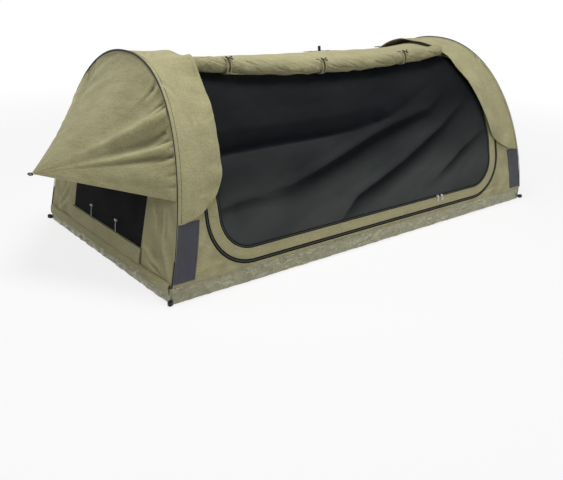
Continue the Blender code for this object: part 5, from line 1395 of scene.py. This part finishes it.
def crest_normal(x, y):
    rise = crest(x, y + MODEL_CANVAS) - crest(x, y - MODEL_CANVAS)
    return unit(np.stack([0 * rise, -rise, 2 * MODEL_CANVAS + 0 * rise], -1))


def roll_fullness(x):
    along = np.abs(x - ROLL_X) / ROLL_HALF_LENGTH
    end_share = np.where(x < ROLL_X, ROLL_END_SHARE["foot"], ROLL_END_SHARE["head"])
    return ROLL_RADIUS * (1 - (1 - end_share) * along**ROLL_TAPER_POWER)


def roll_pinch(x):
    radius = roll_fullness(x)
    for place in TIE_PLACES.values():
        radius = radius * (1 - (1 - ROLL_PINCH_SHARE) * bell(x, place, TIE_PINCH_LENGTH))
    return radius


def roll_centre(x):
    x = np.asarray(x, float)
    rest = np.stack([x, 0 * x + ROLL_Y, crest(x, ROLL_Y)], -1)
    return rest + crest_normal(x, ROLL_Y) * (roll_fullness(x) + MODEL_ZIP / 2 + SEAM_GAP)[..., None]


def around_roll(centre, shift, angle, radius):
    """Places round the roll's middle, shifted along it."""
    return centre + np.stack(np.broadcast_arrays(shift, np.cos(angle) * radius, np.sin(angle) * radius), -1)


def build_roll():
    """The canvas door wound up from its foot, about five turns, with its loose edge on the near side."""
    outer = ROLL_OUTER_TURN * TAU
    wound = np.concatenate([np.linspace(0, outer, 66), np.linspace(outer, ROLL_TURNS * TAU, 66)[1:]])[None, :]
    x = np.linspace(ROLL_X - ROLL_HALF_LENGTH, ROLL_X + ROLL_HALF_LENGTH, 240)[:, None]
    from_end = ROLL_HALF_LENGTH - np.abs(x - ROLL_X)
    turn = math.radians(ROLL_START_DEG) - wound
    fullness = roll_pinch(x)
    radius = fullness - CLOTH / 2 - 0.0002 - ROLL_TURN_PITCH * fullness / ROLL_RADIUS * wound / TAU
    angle = turn % TAU
    near_tie = sum(bell(x, place, 0.05) for place in TIE_PLACES.values())
    twist = angle + 9.0 * (x - ROLL_X)
    lumps = -0.0030 + 0.0020 * np.sin(2 * twist + 3 * ripple(x, 0 * x, 0.5, 131)) * (1 - 0.5 * near_tie)
    round_u, round_v = np.cos(angle) * 0.06, np.sin(angle) * 0.06
    lumps = lumps + 0.0013 * ripple(x + 0.9 * round_u, round_v + 0.6 * x, 0.060, 132, 1.0)
    lumps = lumps + 0.0008 * ripple(x * 1.2 - round_v, round_u - 0.8 * x, 0.028, 133, 1.0)
    wrinkles = 0 * radius
    for turns_of, pitch, seed, deep in ROLL_WRINKLES:
        phase = (turns_of * angle + pitch * x + 1.2 * ripple(x, 0 * x, 0.45, seed)) / 2
        strength = 0.5 + 0.5 * np.tanh(3 * ripple(x + 0.05 * np.cos(angle), 0.05 * np.sin(angle), 0.22, seed + 3))
        wrinkles = wrinkles - deep * strength * bell(np.sin(phase), 0, 0.13) * (1 - 0.5 * near_tie)
    gathers = -0.0020 * np.abs(np.sin(angle * 9 + 4 * ripple(x, 0 * x, 0.2, 134))) * near_tie
    radius = radius + (lumps + wrinkles + gathers) * (0.5 + 0.5 * smooth_step(from_end, 0, 0.03))
    drift = 0.006 * ripple(wound / TAU * 0.3, 0 * wound, 0.5, 135) * (1 - smooth_step(from_end, 0, 0.05))
    middle = around_roll(roll_centre(x[:, 0])[:, None], drift, turn, radius)
    length = np.concatenate([[0], np.cumsum(np.linalg.norm(np.diff(middle[100], axis=0), axis=-1))])[None, :]
    piece = sheet("door_roll_canvas", middle, CLOTH, (x, length), (x, length), "roll")
    # Painted shade in the roll's wrinkles and gathers, and painted light on their crests
    add_painted_light(piece, relief_shade(wrinkles + gathers, 8, 300))
    settle_roll(piece, "canvas", "rolled_door")
    declare(piece, "folded", "roof_canvas")


def build_tie(index, name, place):
    """Two narrow canvas loops round the roll, an elastic between them and a crossed toggle on top."""
    turns = np.arange(64) / 64 * TAU
    for side, sign in (("left", -1), ("right", 1)):
        x = np.array(place + sign * TIE_OFFSET)
        radius = float(roll_pinch(x)) + 0.0006 - 0.0022 + 0.0007 * np.cos(3 * turns + index)
        path = around_roll(roll_centre(x), 0.0016 * np.sin(turns + sign) * sign, turns, radius)
        piece = strap(f"roll_tie_{name}_{side}", path, (1, 0, 0), TIE_WIDTH, "roll", closed=True, thickness=TIE_WEB)
        settle_roll(piece, "canvas", *([f"door_tie_{name}"] if sign < 0 else []))
    lean = math.radians(90 - TOGGLE_TURN_DEG)
    centre, radius = roll_centre(np.array(place)), float(roll_pinch(np.array(place)))
    down = np.linspace(lean - 0.15, lean + 1.55, 26)
    path = around_roll(centre, 0, down, radius + 0.0012)
    settle_roll(tube(f"roll_tie_{name}_elastic", path, 0.0016, 8, "binding"), "webbing")
    out = np.array((0, math.cos(lean), math.sin(lean)))
    aside = np.array((0, -math.sin(lean), math.cos(lean)))
    along = np.linspace(-1, 1, 25)
    waist = 0.55 + 0.45 * smooth_step(np.abs(along), 0.20, 0.75)
    tip = np.maximum(np.abs(along) - 0.78, 0) / 0.24
    radii = TOGGLE_RADIUS * 0.8 * waist * np.sqrt(np.maximum(1 - tip**2, 0.04))
    for part, tilt, height, share in (("bar", 0.42, 0.0070, 0.48), ("knot", -0.36, 0.0104, 0.40)):
        reach = along * TOGGLE_LENGTH * share
        path = centre + out * (radius + height) + np.stack([reach * math.cos(tilt), 0 * along, 0 * along], -1)
        path = path + (reach * math.sin(tilt))[:, None] * aside + (0.0020 * np.abs(along) ** 1.5)[:, None] * out
        toggle = tube(f"roll_toggle_{name}_{part}", path, radii, 14, "toggle")
        settle_roll(toggle, "plastic", *([f"door_toggle_{name}"] if part == "bar" else []))


# Webbing on the ridge and at the corners
RIDGE_WEB_LIFT, RIDGE_FOLD_LIFT = 0.0044, 0.0022


def build_ridge_webbing():
    for name, node, x0, length, width, look in (
        ("ridge_strap_web", "ridge_strap", RIDGE_STRAP_X, RIDGE_STRAP_LENGTH, RIDGE_STRAP_WIDTH, "webbing"),
        ("ridge_tab_web", "ridge_tab", RIDGE_TAB_X, RIDGE_TAB_LENGTH, RIDGE_TAB_WIDTH, "grey_webbing"),
    ):
        x = np.linspace(x0 - length / 2, x0 + length / 2, 30)
        out = crest_normal(x, RIDGE_STRAP_Y)
        path = np.stack([x, 0 * x + RIDGE_STRAP_Y, crest(x, RIDGE_STRAP_Y)], -1)
        path = path + out * (RIDGE_WEB_LIFT + 0.0004 * np.sin(x * 90))[:, None]
        across = np.cross(out, np.array((1.0, 0, 0)))
        settle_skin(strap(name, path, across, width, look), node)
    folded = path[4:-4][::-1] + out[4:-4] * RIDGE_FOLD_LIFT
    settle_skin(strap("ridge_tab_fold", folded, across[4:-4], width * 0.94, look))
    x = np.array(RIDGE_STRAP_X)
    out = crest_normal(x, RIDGE_STRAP_Y)
    foot = np.array((RIDGE_STRAP_X, RIDGE_STRAP_Y, float(crest(x, RIDGE_STRAP_Y))))
    centre = foot + np.array((RIDGE_LOOP_OFFSET, 0, 0)) + out * (0.0030 + RIDGE_LOOP_HEIGHT / 2)
    outline = stadium(RIDGE_LOOP_HEIGHT - 0.001, RIDGE_LOOP_WIDTH * 0.62)
    path = centre + outline[:, 1:] * np.array((1.0, 0, 0)) + outline[:, :1] * out
    across = np.cross(out, np.array((1.0, 0, 0)))
    settle_skin(strap("ridge_loop_web", path, across, RIDGE_LOOP_DEPTH, "webbing", closed=True))


def build_peg_loops():
    for end, sx in ENDS.items():
        for side, sy in SIDES.items():
            outward = np.array((sx, sy, 0)) / math.sqrt(2)
            across = np.array((-outward[1], outward[0], 0))
            centre = np.array((sx * (HALF_LENGTH - TUB_CORNER), sy * (HALF_WIDTH - TUB_CORNER), 0))
            start = centre + outward * (TUB_CORNER + SEAM_GAP + PEG_LOOP_REACH / 2)
            outline = stadium(PEG_LOOP_REACH - LOOP_EASE, PEG_LOOP_WIDTH - LOOP_EASE)
            path = start + outline[:, :1] * outward + outline[:, 1:] * across
            flutter = 0.0008 * np.sin(3 * np.arange(len(path)) / len(path) * TAU)
            path[:, 2] = PEG_LOOP_FOOT + PEG_LOOP_HEIGHT / 2 + flutter
            name = f"peg_loop_web_{end}_{side}"
            piece = strap(name, path, (0, 0, 1), PEG_LOOP_HEIGHT, "webbing", closed=True, thickness=PEG_WEB)
            give(piece, "ground", "webbing", f"peg_loop_{end}_{side}")


# Groundsheet and mattress
def build_tub(spacing=0.0075):
    """A welded tray of coated cloth whose wall buckles and whose bottom edge is rounded."""
    outline = []
    for sx, sy, first in ((1, -1, -0.5), (1, 1, 0), (-1, 1, 0.5), (-1, -1, 1)):
        x, y = sx * (HALF_LENGTH - TUB_CORNER), sy * (HALF_WIDTH - TUB_CORNER)
        for turn in np.linspace(first * PI, (first + 0.5) * PI, 7):
            outline.append((x, y, math.cos(turn), math.sin(turn)))
        length = (BASE_WIDTH if sx * sy < 0 else BASE_LENGTH) - 2 * TUB_CORNER
        next_x, next_y = -sy * (HALF_LENGTH - TUB_CORNER), sx * (HALF_WIDTH - TUB_CORNER)
        for share in np.linspace(0, 1, int(length / spacing) + 1)[1:-1]:
            outline.append((x + (next_x - x) * share, y + (next_y - y) * share, *outline[-1][2:]))
    outline = np.array(outline)
    out = outline[:, 2:]
    rim = outline[:, :2] + out * TUB_CORNER
    run = np.concatenate([[0], np.cumsum(np.hypot(*np.diff(rim, axis=0).T))])
    at_corner = np.minimum(HALF_LENGTH - np.abs(rim[:, 0]), 0.2) + np.minimum(HALF_WIDTH - np.abs(rim[:, 1]), 0.2)
    free = smooth_step(at_corner, 0.0, 0.06)
    levels = [(-0.0085, 0.0), (-0.0030, 0.0008), (-0.0010, 0.0030), (0, 0.007)]
    levels += [(0, z) for z in np.linspace(0.012, TUB_HEIGHT - 0.006, 9)]
    levels += [(0, TUB_HEIGHT - 0.002), (-0.0006, TUB_HEIGHT + 0.0004)]
    wall = []
    for inset, z in levels:
        rise = z / TUB_HEIGHT
        swell = 0.0015 + 0.0066 * crumple(run, z * 1.4 + 0 * run, 0.085, 141, 1.6)
        swell = swell + 0.0026 * crumple(run, z + 0 * run, 0.034, 145, 1.2)
        swell = swell * math.sin(PI * min(1, rise * 0.94 + 0.03)) ** 0.7 * free
        top_wave = 0.0030 * ripple(run, 0 * run, 0.09, 147) * smooth_step(rise, 0.55, 1.0) * free
        place = rim + out * (inset + np.maximum(swell, -0.0012))[:, None]
        wall.append(np.column_stack([place, np.maximum(z + top_wave, 0)]))
    for inset, z in ((TUB_WALL, TUB_HEIGHT), (TUB_WALL, TUB_HEIGHT / 2), (TUB_WALL, 0.006), (0.006, TUB_WALL)):
        wall.append(np.column_stack([rim - out * inset, np.full(len(rim), z)]))
    points = np.concatenate(wall)
    count, rows = len(rim), len(wall)
    heights = np.concatenate([np.full(count, ring[:, 2].mean()) for ring in wall])
    run = np.tile(run, rows)
    cloth = points[:, :2].copy()
    cloth[count:-count] = np.column_stack([run, heights + 2.0])[count:-count]
    layers = {"cloth": cloth, "hem": np.column_stack([run, np.abs(TUB_HEIGHT - heights) + 0.0005])}
    piece = mesh_from("groundsheet_tub", points, loft_faces(rows, count), layers, "coated", 70)
    give(piece, "ground", "pvc", "ground_tub")


def apply_modifiers(item):
    bpy.context.view_layer.update()
    graph = bpy.context.evaluated_depsgraph_get()
    mesh = bpy.data.meshes.new_from_object(item.evaluated_get(graph))
    item.modifiers.clear()
    item.data = mesh


def puff(item, most):
    """Blows a closed cover up from inside with the cloth solver, and caps how far a point may move."""
    before = np.array([v.co for v in item.data.vertices])
    settings = item.modifiers.new("cover", "CLOTH").settings
    settings.quality = 4
    settings.use_pressure = True
    settings.uniform_pressure_force = 4
    settings.effector_weights.gravity = 0
    settings.tension_stiffness = 15
    settings.bending_stiffness = 1
    scene = bpy.context.scene
    for frame_number in range(1, 13):
        scene.frame_set(frame_number)
    apply_modifiers(item)
    scene.frame_set(1)
    move = np.array([v.co for v in item.data.vertices]) - before
    size = np.linalg.norm(move, axis=1, keepdims=True)
    set_points(item.data, before + move * np.minimum(1, most / np.maximum(size, 1e-9)))


PAD_SWELL, PAD_DROP, PAD_EDGE, PAD_VOXEL = 0.004, 0.004, 0.012, 0.013


def build_mattress():
    """A foam mattress in a cotton cover, rounded by pressure. It keeps inside its solid's box."""
    low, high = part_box("mattress")
    bm = bmesh.new()
    bmesh.ops.create_cube(bm, size=1)
    sides = [side - drop - 2 * PAD_SWELL for side, drop in zip(high - low, (0, 0, PAD_DROP))]
    for vertex in bm.verts:
        for axis in range(3):
            vertex.co[axis] *= sides[axis]
    bmesh.ops.bevel(bm, geom=bm.edges[:], offset=PAD_EDGE, segments=3, affect="EDGES")
    mesh = from_bmesh(bm, "mattress_pad")
    mesh.materials.append(LOOKS["mattress"])
    pad = link("mattress_pad", mesh)
    pad.location = (low + high) / 2 - Vector((0, 0, PAD_DROP / 2))
    remesh = pad.modifiers.new("even", "REMESH")
    remesh.mode = "VOXEL"
    remesh.voxel_size = PAD_VOXEL
    apply_modifiers(pad)
    puff(pad, PAD_SWELL)
    points = np.array([pad.matrix_world @ v.co for v in pad.data.vertices])
    centre, half = (np.array(low) + np.array(high)) / 2, (np.array(high) - np.array(low)) / 2
    points = centre + (points - centre) * np.minimum(1, half / np.abs(points - centre).max(0))
    pad.matrix_world = Matrix.Identity(4)
    set_points(pad.data, points)
    x, y, z = points.astype(np.float32).T
    middle = (z.max() + z.min()) / 2
    add_layer(pad.data, "cloth", np.column_stack([x + z, y]))
    add_layer(pad.data, "hem", np.column_stack([x + y, np.abs(z - middle) + PAST_HEM]))
    pad.data.shade_smooth()
    pad.data.set_sharp_from_angle(angle=math.radians(60))
    give(pad, "ground", "foam", "mattress")


# Looks of the model's own solids that stay
NODE_LOOKS = (("pole_seat", "plastic"), ("_pole_", "pole"), ("slider", "metal"), ("pull", "metal"), ("toggle", "cord"))


def dress_model():
    for name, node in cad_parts.items():
        if node.hide_render:
            continue
        look = next((look for word, look in NODE_LOOKS if word in name), "plastic")
        node.data.materials.clear()
        node.data.materials.append(LOOKS[look])
        if look == "metal":
            bevel = node.modifiers.new("edges", "BEVEL")
            bevel.width, bevel.segments, bevel.limit_method = 0.0003, 2, "ANGLE"


build_camera()
build_stage()
build_tub()
build_mattress()
build_roof()
build_zip("mesh_zip_chain", "mesh_door_zip", 0.0, MESH_ZIP_WIDTH)
build_border()
build_zip("outer_zip_chain", "outer_door_zip", OUTER_ZIP_START, OUTER_ZIP_END)
build_mesh_door()
build_side()
build_rear()
for which in ENDS:
    for side_name in SIDES:
        build_patch(which, side_name)
build_roll()
for tie, (tie_name, tie_place) in enumerate(TIE_PLACES.items()):
    build_tie(tie, tie_name, tie_place)
build_ridge_webbing()
build_peg_loops()
END_PIECES = (build_wall, build_net, build_cover, build_skirt, build_hood, build_visor, build_piping, build_tip_loop)
for which in ENDS:
    for build in END_PIECES:
        build(which)
dress_model()
